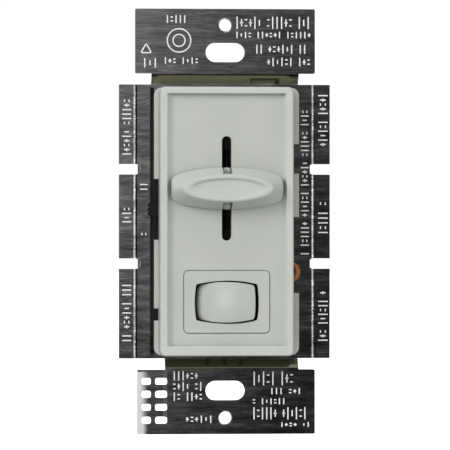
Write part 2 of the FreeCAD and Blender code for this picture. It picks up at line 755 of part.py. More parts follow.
def faceplate():
    tall = (-FACE_Z, FACE_Z)
    shell = plate((-FACE_X, FACE_X), (FACE_FRONT, PLATE_FRONT), tall, FACE_CORNER)
    rim = edges_near(shell, lambda b: b.YMax < FACE_FRONT + 0.01)
    shell = shell.makeFillet(FACE_EDGE, rim)
    flange = plate((FLANGE_LEFT_X, FLANGE_RIGHT_X), (FLANGE_FRONT, PLATE_FRONT), tall, FLANGE_CORNER)
    shape = union([shell, flange])
    hollow = box((-HOLLOW_X, HOLLOW_X), (FACE_INSIDE, PLATE_FRONT + PAST), (-HOLLOW_Z, HOLLOW_Z))
    raised, groove = pad()
    shape = cut(shape, [hollow, recess_cutter()])
    shape = shape.cut(groove)
    shape = union([shape, raised] + snap_legs() + rocker_bearings())

    through = (FACE_FRONT, FACE_INSIDE + EMBED)
    opening = barrel(
        through,
        (0, ROCKER_Z),
        ROCKER_OPENING_WIDTH,
        ROCKER_OPENING_HEIGHT,
        ROCKER_SIDE_BULGE,
        ROCKER_END_BULGE,
    )
    opening = opening.makeFillet(ROCKER_OPENING_CORNER, edges_near(opening, is_upright))
    slot = obround(around(0, SLOT_WIDTH), through, (SLOT_LOW, SLOT_HIGH))
    pin_reach = ROCKER_OPENING_HEIGHT / 2 + BEARING_THICK + PAST
    pins = rod("z", PIVOT_RADIUS + RUNNING, around(ROCKER_Z, 2 * pin_reach), (0, PIVOT_Y))
    trim_low, trim_high = around(TRIM_Z, TRIM_WINDOW)
    left_notch = trim_low - LEFT_NOTCH_DROP
    rivet_low = TRIAC_RIVET_HEIGHT - RIVET_WINDOW_DROP
    rivet_high = rivet_low + RIVET_WINDOW
    right_notch = rivet_high + RIGHT_NOTCH_RISE
    windows = [
        flange_window(-1, trim_high, trim_low, True),
        flange_window(-1, left_notch, left_notch - LEFT_NOTCH, False),
        flange_window(1, rivet_high, rivet_low, True),
        flange_window(1, right_notch + RIGHT_NOTCH, right_notch, False),
    ]
    drains = []
    for index in (-1, 0, 1):
        wide = around(index * DRAIN_PITCH, DRAIN_WIDTH)
        tall = (-FACE_Z - PAST, -FACE_Z + CATCH_DEPTH)
        drains.append(box(wide, (FLANGE_FRONT, PLATE_FRONT + PAST), tall))
    catch = box(
        around(CATCH_MIDDLE, CATCH_WIDTH),
        (FLANGE_FRONT, PLATE_FRONT + PAST),
        (FACE_Z - CATCH_DEPTH, FACE_Z + PAST),
    )
    rivets = []
    head = (PLATE_FRONT - RIVET_HEAD_THICK - CLEARANCE, PLATE_FRONT + PAST)
    for at in corners():
        rivets.append(rod("y", RIVET_HEAD + CLEARANCE, head, at))
    shape = cut(shape, [opening, slot, pins, catch] + windows + drains + rivets)
    return soften(shape)


# ---------------------------------------------------------------- slider
def knob_outline(y):
    return barrel(
        y,
        (0, SLIDER_Z),
        KNOB_WIDTH,
        KNOB_HEIGHT,
        KNOB_END_BULGE,
        (KNOB_HEIGHT - KNOB_END_HEIGHT) / 2,
    )


def ellipse(width, height, y):
    """A flat ellipse at a height Y, wide along X."""
    curve = Part.Ellipse(Vector(0, 0, 0), width / 2, height / 2).toShape()
    curve.rotate(Vector(0, 0, 0), Vector(1, 0, 0), 90)
    curve.translate(Vector(0, y, SLIDER_Z))
    return Part.Wire(curve)


def slider_knob():
    """A low boat-shaped knob: skirt, slopes up to an oval crest, and a shallow dish in it."""
    rear = FLOOR - KNOB_LIFT
    front = rear - KNOB_RISE
    skirt = knob_outline((rear - KNOB_SKIRT, rear))
    foot = ellipse(KNOB_WIDTH - KNOB_FOOT_INSET[0], KNOB_HEIGHT - KNOB_FOOT_INSET[1], rear - KNOB_SKIRT)
    crest = ellipse(KNOB_CREST_WIDTH, KNOB_CREST_HEIGHT, front + KNOB_CREST_BAND)
    slopes = Part.makeLoft([foot, crest], True, True)
    band = Part.Face(crest).extrude(Vector(0, -KNOB_CREST_BAND, 0))
    shape = union([skirt, slopes, band])
    dish = Part.Face(ellipse(KNOB_DISH_WIDTH, KNOB_DISH_HEIGHT, front)).extrude(
        Vector(0, KNOB_DISH_DEPTH, 0)
    )
    notches = []
    for side in (1, -1):
        inner = SLIDER_Z + side * KNOB_CREST_HEIGHT / 2
        outer = SLIDER_Z + side * (KNOB_HEIGHT / 2 + PAST)
        through = (front - PAST, rear + PAST)
        notches.append(box(around(0, KNOB_NOTCH), through, sorted((inner, outer))))
    socket = box(
        around(0, SHUTTER_WIDTH + 2 * SEAT),
        (rear - TANG_RISE, rear + PAST),
        around(SLIDER_Z, TANG_LENGTH + 2 * SEAT),
    )
    return cut(shape, [dish, socket] + notches)


def slider_shuttle():
    """The blade that fills the slot, its tang in the knob, its shoe and the socket for the lever."""
    front = FLOOR + SHUTTER_SUNK
    shoe_front = FACE_INSIDE + CLEARANCE
    shoe_rear = shoe_front + SHOE_THICK
    end = BOSS_FRONT - CLEARANCE
    middle = SLIDER_Z
    blade_span = (front, shoe_front + EMBED)
    blade = obround(around(0, SHUTTER_WIDTH), blade_span, around(middle, SHUTTER_LENGTH))
    tang_front = FLOOR - KNOB_LIFT - TANG_RISE + SEAT
    tang = box(around(0, SHUTTER_WIDTH), (tang_front, front + EMBED), around(middle, TANG_LENGTH))
    shoe = box(around(0, SHOE_WIDTH), (shoe_front, shoe_rear), around(middle, SHUTTER_LENGTH))
    leg = box(around(0, SOCKET_WIDTH), (shoe_rear - EMBED, end), around(middle, SOCKET_LENGTH))
    socket = box(
        around(0, LEVER_WIDTH + 2 * SEAT),
        (shoe_rear + SEAT, end + PAST),
        around(middle, LEVER_LENGTH + 2 * SEAT),
    )
    return union([blade, tang, shoe, leg]).cut(socket)


POT_LENGTH = SLIDER_TRAVEL + POT_EXTRA_LENGTH
POT_FLOOR = BOARD_FRONT - POT_WALL
CARRIAGE_FRONT = POT_FRONT + POT_WALL + CLEARANCE
CARRIAGE_REAR = CARRIAGE_FRONT + CARRIAGE_DEPTH


def pot_body(x, z, width, length, slot_width, slot_length):
    """A channel with a floor, closed ends and a slot along its front."""
    shell = box(around(x, width), (POT_FRONT, BOARD_FRONT), around(z, length))
    cavity = box(
        around(x, width - 2 * POT_WALL),
        (POT_FRONT + POT_WALL, POT_FLOOR),
        around(z, length - 2 * POT_WALL),
    )
    through = (POT_FRONT - PAST, POT_FRONT + POT_WALL + EMBED)
    slot = box(around(x, slot_width), through, around(z, slot_length))
    return cut(shell, [cavity, slot])


def pot_track(x, z, width, length):
    wide = around(x, width - 2 * POT_WALL - CLEARANCE)
    tall = around(z, length - 2 * POT_WALL - CLEARANCE)
    return box(wide, (POT_FLOOR - TRACK_THICK, POT_FLOOR), tall)


def wiper(x, z):
    """A bowed leaf under a carriage, just clear of the track."""
    low = POT_FLOOR - TRACK_THICK - CLEARANCE / 2
    reach = WIPER_LENGTH / 2
    flat = WIPER_FLAT / 2
    return prism(
        "x",
        around(x, WIPER_WIDTH),
        (CARRIAGE_REAR, z - reach + WIPER_THICK),
        (low - WIPER_THICK, z - flat),
        (low - WIPER_THICK, z + flat),
        (CARRIAGE_REAR, z + reach - WIPER_THICK),
        (CARRIAGE_REAR, z + reach),
        (low, z + flat + WIPER_THICK),
        (low, z - flat - WIPER_THICK),
        (CARRIAGE_REAR, z - reach),
    )


def slide_pot_body():
    slot = SLIDER_TRAVEL + LEVER_LENGTH + 4 * CLEARANCE
    return pot_body(0, SLIDER_Z, POT_WIDTH, POT_LENGTH, LEVER_WIDTH + 2 * CLEARANCE, slot)


def slide_pot_carriage():
    """The sliding block with its lever, which reaches up into the shuttle."""
    wide = POT_WIDTH - 2 * POT_WALL - 2 * CLEARANCE
    block = box(around(0, wide), (CARRIAGE_FRONT, CARRIAGE_REAR), around(SLIDER_Z, CARRIAGE_LENGTH))
    top = FACE_INSIDE + CLEARANCE + SHOE_THICK + 2 * SEAT
    lever = box(around(0, LEVER_WIDTH), (top, CARRIAGE_FRONT + EMBED), around(SLIDER_Z, LEVER_LENGTH))
    return union([block, lever])


# ---------------------------------------------------------------- trim control
def trim_lever():
    """A flat arm with a ribbed finger tab outside the faceplate and a stem down to its control."""
    outer = -FACE_X - TRIM_REACH
    inner = TRIM_STEM_X + TRIM_STEM_WIDTH / 2
    arm = box((-FACE_X, inner), (TRIM_FRONT, TRIM_REAR), around(TRIM_Z, TRIM_HEIGHT))
    pitch = TRIM_HEIGHT / TRIM_TEETH
    pieces = [arm]
    root = outer + pitch / 2
    pieces.append(box((root, -FACE_X + EMBED), (TRIM_FRONT, TRIM_REAR), around(TRIM_Z, TRIM_HEIGHT)))
    for index in range(TRIM_TEETH):
        z = TRIM_Z + (index - (TRIM_TEETH - 1) / 2) * pitch
        pieces.append(
            prism(
                "y",
                (TRIM_FRONT, TRIM_REAR),
                (root, z - pitch / 2),
                (outer, z - TRIM_TOOTH_TIP / 2),
                (outer, z + TRIM_TOOTH_TIP / 2),
                (root, z + pitch / 2),
            )
        )
    stem = box(
        around(TRIM_STEM_X, TRIM_STEM_WIDTH),
        (TRIM_FRONT, CARRIAGE_FRONT + EMBED),
        around(TRIM_Z, TRIM_HEIGHT - 2 * CLEARANCE),
    )
    foot = box(
        around(TRIM_STEM_X, TRIM_POT_WIDTH - 2 * POT_WALL - 2 * CLEARANCE),
        (CARRIAGE_FRONT, CARRIAGE_REAR),
        around(TRIM_Z, TRIM_HEIGHT),
    )
    return union(pieces + [stem, foot])


TRIM_POT_LENGTH = TRIM_TRAVEL + TRIM_HEIGHT + 2 * POT_WALL + TRIM_POT_SPARE


def trim_pot_body():
    slot = TRIM_TRAVEL + TRIM_HEIGHT + 2 * CLEARANCE
    width = TRIM_STEM_WIDTH + 2 * CLEARANCE
    return pot_body(TRIM_STEM_X, TRIM_Z, TRIM_POT_WIDTH, TRIM_POT_LENGTH, width, slot)


# ---------------------------------------------------------------- rocker
def rocker_profile(span):
    """Section across the rocker in its middle position: crown, two sloping ends, straight skirt."""
    half = ROCKER_OPENING_WIDTH / 2
    crown = ROCKER_CROWN_WIDTH / 2
    top = PAD_FRONT - ROCKER_PROUD
    shoulder = top + ROCKER_CROWN_SAG
    end = shoulder + (half - crown) * math.tan(math.radians(ROCKER_END_SLOPE))
    skirt = PIVOT_Y + ROCKER_SKIRT
    return prism(
        "z",
        span,
        (-half, end),
        (-crown, shoulder),
        ((0, top), (crown, shoulder)),
        (half, end),
        (half, skirt),
        (-half, skirt),
    )


def rocker_flanks(gap):
    """A barrel turned about the pivot, so the flanks keep their gap as the rocker tilts."""
    reach = ROCKER_OPENING_WIDTH / 2 - gap
    corner = reach - ROCKER_SIDE_BULGE
    half = ROCKER_OPENING_HEIGHT / 2
    place = Vector(0, PIVOT_Y, ROCKER_Z)
    outline = Part.Wire(
        [
            Part.makeLine(place + Vector(0, 0, -half), place + Vector(corner, 0, -half)),
            Part.Arc(
                place + Vector(corner, 0, -half),
                place + Vector(reach, 0, 0),
                place + Vector(corner, 0, half),
            ).toShape(),
            Part.makeLine(place + Vector(corner, 0, half), place + Vector(0, 0, half)),
            Part.makeLine(place + Vector(0, 0, half), place + Vector(0, 0, -half)),
        ]
    )
    return Part.Face(outline).revolve(place, Vector(0, 0, 1), 360)


def rocker_body(shrink):
    """The rocker's outside, or the space inside its walls when shrink is the wall."""
    tall = (ROCKER_Z - ROCKER_OPENING_HEIGHT, ROCKER_Z + ROCKER_OPENING_HEIGHT)
    ends = barrel(
        (PAD_FRONT - PIVOT_DEPTH, PIVOT_Y + PIVOT_DEPTH),
        (0, ROCKER_Z),
        ROCKER_OPENING_WIDTH * ROCKER_END_STRETCH,
        ROCKER_OPENING_HEIGHT - 2 * (ROCKER_GAP + shrink),
        ROCKER_SIDE_BULGE,
        ROCKER_END_BULGE * ROCKER_END_STRETCH**2,
    )
    profile = rocker_profile(tall)
    profile.translate(Vector(0, shrink, 0))
    return profile.common(ends).common(rocker_flanks(ROCKER_GAP + shrink))


def rocker():
    outside = rocker_body(0)
    inside = rocker_body(ROCKER_WALL)
    leg = rod("y", LEG_RADIUS, (PAD_FRONT + ROCKER_WALL, PIVOT_Y + LEG_REACH), (0, ROCKER_Z))
    bore = rod("y", LEG_BORE, (PIVOT_Y + BORE_START, PIVOT_Y + LEG_REACH + PAST), (0, ROCKER_Z))
    reach = ROCKER_OPENING_HEIGHT / 2 - ROCKER_GAP + PIVOT_LENGTH
    pins = rod("z", PIVOT_RADIUS, around(ROCKER_Z, 2 * reach), (0, PIVOT_Y))
    shape = union([outside.cut(inside), leg, pins]).cut(bore)
    return turned(shape, -ROCKER_SWING, 0, PIVOT_Y)


def plunger():
    start = PIVOT_Y + PLUNGER_TIP - PLUNGER_LENGTH
    tip = PIVOT_Y + PLUNGER_TIP
    body = rod("y", PLUNGER_RADIUS, (start, tip - PLUNGER_RADIUS), (0, ROCKER_Z))
    dome = Part.makeSphere(PLUNGER_RADIUS, Vector(0, tip - PLUNGER_RADIUS, ROCKER_Z))
    return turned(union([body, dome]), -ROCKER_SWING, 0, PIVOT_Y)


def plunger_spring():
    radius = PLUNGER_RADIUS - SPRING_WIRE / 2
    rise = SPRING_LENGTH - SPRING_WIRE
    helix = Part.makeHelix(rise / SPRING_TURNS, rise, radius)
    section = Part.Wire(Part.makeCircle(SPRING_WIRE / 2, Vector(radius, 0, 0), Vector(0, 1, 0)))
    spring = Part.Wire(helix.Edges).makePipeShell([section], True, True)
    spring.rotate(Vector(0, 0, 0), Vector(1, 0, 0), -90)
    start = PIVOT_Y + BORE_START + SPRING_GAP + SPRING_WIRE / 2
    spring.translate(Vector(0, start, ROCKER_Z))
    return turned(spring, -ROCKER_SWING, 0, PIVOT_Y)


def contact_blade():
    """A see-saw blade with two short hinge pins, shown pressed on its right side."""
    blade = box(
        around(0, BLADE_LENGTH),
        around(BLADE_Y, BLADE_THICK),
        around(ROCKER_Z, BLADE_WIDTH),
    )
    pieces = [blade]
    near = BLADE_WIDTH / 2 - BLADE_PIN_INSET
    far = BLADE_WIDTH / 2 + BLADE_PIN_REACH
    for side in (1, -1):
        span = sorted((ROCKER_Z + side * near, ROCKER_Z + side * far))
        pieces.append(rod("z", BLADE_PIN_RADIUS, span, (0, BLADE_Y)))
    return turned(union(pieces), BLADE_TILT, 0, BLADE_Y)


def blade_contacts():
    face = BLADE_Y + BLADE_THICK / 2
    buttons = []
    for x in (-CONTACT_OFFSET, CONTACT_OFFSET):
        button = rod("y", CONTACT_RADIUS, (face, face + CONTACT_THICK), (x, ROCKER_Z))
        buttons.append(turned(button, BLADE_TILT, 0, BLADE_Y))
    return Part.makeCompound(buttons)


def fixed_contacts():
    buttons = []
    for x in (-CONTACT_OFFSET, CONTACT_OFFSET):
        buttons.append(rod("y", CONTACT_RADIUS, (CONTACT_FACE, TRAVELLER_FRONT), (x, ROCKER_Z)))
    return Part.makeCompound(buttons)


def traveller_terminals():
    """Two L-shaped strips: one arm under each fixed contact, the other down through the board."""
    strips = []
    for side in (1, -1):
        outer = SWITCH_WIDTH / 2 - SWITCH_WALL - CLEARANCE
        wide = sorted((side * (CONTACT_OFFSET - CONTACT_RADIUS - CLEARANCE), side * outer))
        arm = box(wide, (TRAVELLER_FRONT, SWITCH_FRONT), around(ROCKER_Z, TRAVELLER_WIDTH))
        leg_x = sorted((side * (outer - TERMINAL_THICK), side * outer))
        leg = box(leg_x, (TRAVELLER_FRONT, BOARD_REAR + SOLDER_LIFT), around(ROCKER_Z, LEG_STRIP))
        strips.append(union([arm, leg]))
    return Part.makeCompound(strips)


def common_terminal():
    """The fulcrum: two cheeks that hold the blade's pins, on a strip with a leg through the board."""
    cheek = BLADE_WIDTH / 2 + CHEEK_GAP
    reach = cheek + CHEEK_THICK
    pieces = [
        box(around(0, CHEEK_WIDTH), (TRAVELLER_FRONT, SWITCH_FRONT), around(ROCKER_Z, 2 * reach)),
        box(
            around(0, LEG_STRIP),
            (TRAVELLER_FRONT, BOARD_REAR + SOLDER_LIFT),
            (ROCKER_Z - reach, ROCKER_Z - cheek),
        ),
    ]
    for side in (1, -1):
        span = sorted((ROCKER_Z + side * cheek, ROCKER_Z + side * reach))
        front = BLADE_Y - 2 * BLADE_PIN_RADIUS
        pieces.append(box(around(0, CHEEK_WIDTH), (front, SWITCH_FRONT), span))
    pins = rod("z", BLADE_PIN_RADIUS + RUNNING, around(ROCKER_Z, 2 * reach + PAST), (0, BLADE_Y))
    return union(pieces).cut(pins)


def switch_base():
    """A tray on the board: floor under the terminals, with a low wall around them."""
    floor = box(
        around(0, SWITCH_WIDTH),
        (SWITCH_FRONT, BOARD_FRONT),
        around(ROCKER_Z, SWITCH_HEIGHT),
    )
    wall = box(
        around(0, SWITCH_WIDTH),
        (BLADE_Y, BOARD_FRONT),
        around(ROCKER_Z, SWITCH_HEIGHT),
    )
    room = box(
        around(0, SWITCH_WIDTH - 2 * SWITCH_WALL),
        (BLADE_Y - PAST, SWITCH_FRONT),
        around(ROCKER_Z, SWITCH_HEIGHT - 2 * SWITCH_WALL),
    )
    return cut(union([floor, wall.cut(room)]), terminal_legs(BOARD_FRONT + PAST))


def terminal_legs(rear):
    """Clearance slots for the three switch legs."""
    outer = SWITCH_WIDTH / 2 - SWITCH_WALL - CLEARANCE
    leg = outer - TERMINAL_THICK / 2
    wide = TERMINAL_THICK + 2 * SEAT
    slots = []
    long = LEG_STRIP + 2 * SEAT
    span = (SWITCH_FRONT - EMBED, rear)
    for x in (-leg, leg):
        slots.append(box(around(x, wide), span, around(ROCKER_Z, long)))
    cheek = ROCKER_Z - BLADE_WIDTH / 2 - CHEEK_GAP - CHEEK_THICK / 2
    slots.append(box(around(0, long), span, around(cheek, CHEEK_THICK + 2 * SEAT)))
    return slots


# ---------------------------------------------------------------- enclosure
def triac_room():
    """The space that the triac, its pad and its leads take from the front cover."""
    left = TRIAC_X - TRIAC_WIDTH / 2 - TRIAC_PAD_EDGE - CLEARANCE
    low = TRIAC_RIVET_HEIGHT - TRIAC_HOLE_INSET - TRIAC_PAD_EDGE - CLEARANCE
    top = TRIAC_RIVET_HEIGHT - TRIAC_HOLE_INSET + TRIAC_TAB_LENGTH + TRIAC_CASE_LENGTH
    high = top + TRIAC_LEAD_RUN + TRIAC_LEAD + CLEARANCE
    return box((left, CAVITY_RIGHT + PAST), (PLATE_REAR, COVER_REAR + PAST), (low, high))


def front_cover():
    """The lid behind the yoke, with a boss that fills the yoke's opening."""
    gap = CLEARANCE
    lid = plate(
        (CAVITY_LEFT + gap, CAVITY_RIGHT - gap),
        (PLATE_REAR, COVER_REAR),
        (-CAVITY_Z + gap, CAVITY_Z - gap),
        HOUSING_CORNER - HOUSING_WALL,
    )
    boss = box(
        (OPENING_LEFT + gap, OPENING_RIGHT - gap),
        (BOSS_FRONT, PLATE_REAR + EMBED),
        (-OPENING_Z + gap, OPENING_Z - gap),
    )
    shape = union([lid, boss])
    through = (BOSS_FRONT - PAST, COVER_REAR + PAST)
    stem_room = SLIDER_TRAVEL + LEVER_LENGTH + 4 * gap
    leg_room = (LEG_REACH + PLUNGER_RADIUS) * math.sin(math.radians(ROCKER_SWING)) + LEG_RADIUS
    trim_room = TRIM_TRAVEL + TRIM_HEIGHT + 2 * gap
    cutters = [
        box(around(0, LEVER_WIDTH + 4 * gap), through, around(SLIDER_Z, stem_room)),
        box(around(0, 2 * leg_room + 4 * gap), through, around(ROCKER_Z, 2 * LEG_RADIUS + 4 * gap)),
        box(around(TRIM_STEM_X, TRIM_STEM_WIDTH + 2 * gap), through, around(TRIM_Z, trim_room)),
        triac_room(),
    ]
    for side in (1, -1):
        outer = side * (OPENING_Z + SNAP_HOOK + gap)
        inner = side * (OPENING_Z - 2 * gap - SNAP_THICK)
        for x in (-SNAP_OFFSET, SNAP_OFFSET):
            cutters.append(box(around(x, SNAP_WIDTH + 2 * gap), through, sorted((inner, outer))))
    cutters += [rod("y", RIVET_SHANK + SEAT, through, at) for at in corners()]
    return cut(shape, cutters)


def posts():
    return [(x, z) for x in (POST_LEFT, POST_RIGHT) for z in (-POST_Z, POST_Z)]


def housing():
    """The deep rear box with bosses for the corner rivets and posts for the board."""
    shell = plate(
        (HOUSING_LEFT, HOUSING_RIGHT),
        (PLATE_REAR, HOUSING_REAR),
        (-HOUSING_Z, HOUSING_Z),
        HOUSING_CORNER,
    )
    rear = edges_near(shell, lambda b: b.YMin > HOUSING_REAR - 0.01)
    shell = shell.makeFillet(HOUSING_REAR_ROUND, rear)
    cavity = plate(
        (CAVITY_LEFT, CAVITY_RIGHT),
        (PLATE_REAR - PAST, CAVITY_REAR),
        (-CAVITY_Z, CAVITY_Z),
        HOUSING_CORNER - HOUSING_WALL,
    )
    pieces = [shell.cut(cavity)]
    for x, z in corners():
        side = 1 if z > 0 else -1
        span = (COVER_REAR, COVER_REAR + BOSS_LENGTH)
        web = sorted((z, side * (CAVITY_Z + EMBED)))
        pieces.append(rod("y", BOSS_RADIUS, span, (x, z)))
        pieces.append(box(around(x, 2 * BOSS_RADIUS), span, web))
    for at in posts():
        pieces.append(rod("y", POST_RADIUS, (BOARD_REAR, CAVITY_REAR + EMBED), at))
    shape = union(pieces)
    cutters = []
    for at in corners():
        depth = COVER_REAR + RIVET_GRIP + CLEARANCE
        cutters.append(rod("y", RIVET_SHANK + SEAT, (PLATE_REAR, depth), at))
    for at in posts():
        depth = BOARD_FRONT + BOARD_SCREW_LENGTH + CLEARANCE
        cutters.append(rod("y", BOARD_SCREW_RADIUS + SEAT, (BOARD_REAR - PAST, depth), at))
    exit_z = HOUSING_Z - LEAD_EXIT_INSET
    cutters.append(
        plate(
            around(0, LEAD_EXIT_WIDTH),
            (CAVITY_REAR - PAST, HOUSING_REAR + PAST),
            around(exit_z, LEAD_EXIT_HEIGHT),
            LEAD_EXIT_HEIGHT / 4,
        )
    )
    return cut(shape, cutters)


def corner_rivets():
    rivets = []
    for at in corners():
        head = rod("y", RIVET_HEAD, (PLATE_FRONT - RIVET_HEAD_THICK, PLATE_FRONT), at)
        front = edges_near(head, lambda b: close(b.YMax, PLATE_FRONT - RIVET_HEAD_THICK))
        head = head.makeFillet(RIVET_HEAD_THICK / 2, front)
        shank = rod("y", RIVET_SHANK, (PLATE_FRONT - EMBED, COVER_REAR + RIVET_GRIP), at)
        rivets.append(union([head, shank]))
    return Part.makeCompound(rivets)


def triac_rivet():
    """A hollow rivet that clamps the triac's tab to the yoke."""
    at = (TRIAC_X, TRIAC_RIVET_HEIGHT)
    rear = PLATE_REAR + TRIAC_PAD_THICK + TRIAC_TAB_THICK
    end = rear + TRIAC_RIVET_FOOT
    bead_y = PLATE_FRONT - TRIAC_RIVET_BEAD
    ring = rod("y", TRIAC_RIVET_RING, (PLATE_FRONT - TRIAC_RIVET_SEAT, PLATE_FRONT), at)
    head = Part.makeTorus(
        TRIAC_RIVET_SHANK,
        TRIAC_RIVET_BEAD,
        Vector(at[0], bead_y, at[1]),
        Vector(0, 1, 0),
    )
    shank = rod("y", TRIAC_RIVET_SHANK, (bead_y, end), at)
    foot = rod("y", TRIAC_RIVET_RING, (rear, end), at)
    bore = rod("y", TRIAC_RIVET_BORE, (PLATE_FRONT - PAST, end + PAST), at)
    return union([ring, head, shank, foot]).cut(bore)


TRIAC_FRONT = PLATE_REAR + TRIAC_PAD_THICK
TRIAC_LOW = TRIAC_RIVET_HEIGHT - TRIAC_HOLE_INSET
TRIAC_CASE_LOW = TRIAC_LOW + TRIAC_TAB_LENGTH
TRIAC_CASE_HIGH = TRIAC_CASE_LOW + TRIAC_CASE_LENGTH
TRIAC_LEAD_Y = TRIAC_FRONT + TRIAC_LEAD_HEIGHT


def triac_pad():
    """A thin insulating sheet between the triac and the yoke."""
    edge = TRIAC_PAD_EDGE
    wide = (TRIAC_X - TRIAC_WIDTH / 2 - edge, CAVITY_RIGHT)
    sheet = box(wide, (PLATE_REAR, TRIAC_FRONT), (TRIAC_LOW - edge, TRIAC_CASE_HIGH + edge))
    hole = rod("y", TRIAC_RIVET_SHANK + SEAT, (0, TRIAC_FRONT + PAST), (TRIAC_X, TRIAC_RIVET_HEIGHT))
    return sheet.cut(hole)


def triac_tab():
    rear = TRIAC_FRONT + TRIAC_TAB_THICK
    blank = box(around(TRIAC_X, TRIAC_WIDTH), (TRIAC_FRONT, rear), (TRIAC_LOW, TRIAC_CASE_LOW))
    low = edges_near(blank, lambda b: b.YLength > 1 and close(b.ZMax, TRIAC_LOW))
    blank = blank.makeChamfer(TRIAC_TAB_CHAMFER, low)
    through = (TRIAC_FRONT - PAST, rear + PAST)
    hole = rod("y", TRIAC_HOLE_RADIUS, through, (TRIAC_X, TRIAC_RIVET_HEIGHT))
    return blank.cut(hole)


def triac_case():
    wide = around(TRIAC_X, TRIAC_WIDTH)
    block = box(wide, (TRIAC_FRONT, TRIAC_FRONT + TRIAC_CASE_THICK), (TRIAC_CASE_LOW, TRIAC_CASE_HIGH))
    rear = edges_near(block, lambda b: close(b.YMin, TRIAC_FRONT + TRIAC_CASE_THICK))
    return block.makeChamfer(TRIAC_CASE_CHAMFER, rear)


def lead_places():
    return [TRIAC_X + index * TRIAC_LEAD_PITCH for index in (-1, 0, 1)]


def triac_leads():
    """Three leads: out of the case, then a right angle down through the board."""
    leads = []
    turn = TRIAC_CASE_HIGH + TRIAC_LEAD_RUN
    for x in lead_places():
        wide = around(x, TRIAC_LEAD)
        out = box(wide, around(TRIAC_LEAD_Y, TRIAC_LEAD), (TRIAC_CASE_HIGH, turn))
        down = box(
            wide,
            (TRIAC_LEAD_Y - TRIAC_LEAD / 2, BOARD_REAR + SOLDER_LIFT),
            (turn - TRIAC_LEAD, turn),
        )
        leads.append(union([out, down]))
    return Part.makeCompound(leads)


# ---------------------------------------------------------------- board
def circuit_board():
    board = plate((BOARD_LEFT, BOARD_RIGHT), (BOARD_FRONT, BOARD_REAR), (-BOARD_Z, BOARD_Z), BOARD_CORNER)
    through = (BOARD_FRONT - PAST, BOARD_REAR + PAST)
    holes = [rod("y", BOARD_SCREW_RADIUS + SEAT, through, at) for at in posts()]
    lead_z = TRIAC_CASE_HIGH + TRIAC_LEAD_RUN - TRIAC_LEAD / 2
    for x in lead_places():
        holes.append(rod("y", TRIAC_LEAD * 0.75, through, (x, lead_z)))
    return cut(board, holes + terminal_legs(BOARD_REAR + PAST))


def board_screws():
    screws = []
    for at in posts():
        front = BOARD_FRONT - BOARD_SCREW_HEAD_THICK
        end = BOARD_FRONT + BOARD_SCREW_LENGTH
        head = rod("y", BOARD_SCREW_HEAD, (front, BOARD_FRONT), at)
        shank = rod("y", BOARD_SCREW_RADIUS, (BOARD_FRONT - EMBED, end), at)
        slot_floor = front + BOARD_SCREW_HEAD_THICK / 2
        wide = around(at[0], 2 * BOARD_SCREW_HEAD + PAST)
        slot = box(wide, (front - PAST, slot_floor), around(at[1], BOARD_SCREW_SLOT))
        screws.append(union([head, shank]).cut(slot))
    return Part.makeCompound(screws)


CHOKE_PLACE = (BOARD_RIGHT - CHOKE_OUTER - CHOKE_INSET, SLIDER_Z - CHOKE_DROP)
CHOKE_FRONT = BOARD_REAR + SOLDER_LIFT + CHOKE_WIRE


def choke_core():
    span = (CHOKE_FRONT, CHOKE_FRONT + CHOKE_DEPTH)
    ring = rod("y", CHOKE_OUTER, span, CHOKE_PLACE).cut(rod("y", CHOKE_INNER, span, CHOKE_PLACE))
    return ring.makeFillet(CHOKE_ROUND, edges_near(ring, lambda b: close(b.YLength, 0)))


def choke_winding():
    """Square turns of wire around the ring, spread evenly with a gap for the leads."""
    turns = []
    wire = CHOKE_WIRE
    for index in range(CHOKE_TURNS):
        outer = box(
            (CHOKE_INNER - wire - SEAT, CHOKE_OUTER + wire + SEAT),
            (CHOKE_FRONT - wire, CHOKE_FRONT + CHOKE_DEPTH + wire),
            around(0, wire),
        )
        inner = box(
            (CHOKE_INNER - SEAT, CHOKE_OUTER + SEAT),
            (CHOKE_FRONT - SEAT, CHOKE_FRONT + CHOKE_DEPTH + SEAT),
            around(0, wire + PAST),
        )
        turn = outer.cut(inner)
        turn.rotate(Vector(0, 0, 0), Vector(0, 1, 0), CHOKE_SWEEP * index / CHOKE_TURNS)
        turn.translate(Vector(CHOKE_PLACE[0], 0, CHOKE_PLACE[1]))
        turns.append(turn)
    return Part.makeCompound(turns)


def capacitor(size, place):
    """A potted box standing on the rear of the board."""
    wide, tall, deep = size
    x, z = place
    lift = BOARD_REAR + SOLDER_LIFT
    block = box(around(x, wide), (lift, lift + tall), around(z, deep))
    block = block.makeFillet(CAPACITOR_ROUND, block.Edges)
    legs = []
    for side in (1, -1):
        at = (x + side * (wide / 2 - CAPACITOR_LEG_INSET), z)
        legs.append(rod("y", RESISTOR_LEAD, (BOARD_REAR, lift + PAST), at))
    return union([block] + legs)


def filter_capacitor():
    return capacitor(FILM_CAPACITOR, FILM_CAPACITOR_PLACE)


def timing_capacitor():
    return capacitor(TIMING_CAPACITOR, TIMING_CAPACITOR_PLACE)


def axial(radius, length, x, z):
    """A small part on two bent leads, lying along X on the rear of the board."""
    lift = BOARD_REAR + SOLDER_LIFT + radius
    body = rod("x", radius, around(x, length), (lift, z))
    pieces = [body]
    half = RESISTOR_SPAN / 2
    pieces.append(rod("x", RESISTOR_LEAD, around(x, RESISTOR_SPAN), (lift, z)))
    for side in (1, -1):
        span = (BOARD_REAR, lift + SOLDER_RADIUS)
        pieces.append(rod("y", SOLDER_RADIUS, span, (x + side * half, z)))
    return union(pieces)


def resistors():
    x, z = RESISTOR_PLACE
    places = [z + index * RESISTOR_PITCH for index in range(RESISTOR_COUNT)]
    return Part.makeCompound([axial(RESISTOR_RADIUS, RESISTOR_LENGTH, x, place) for place in places])


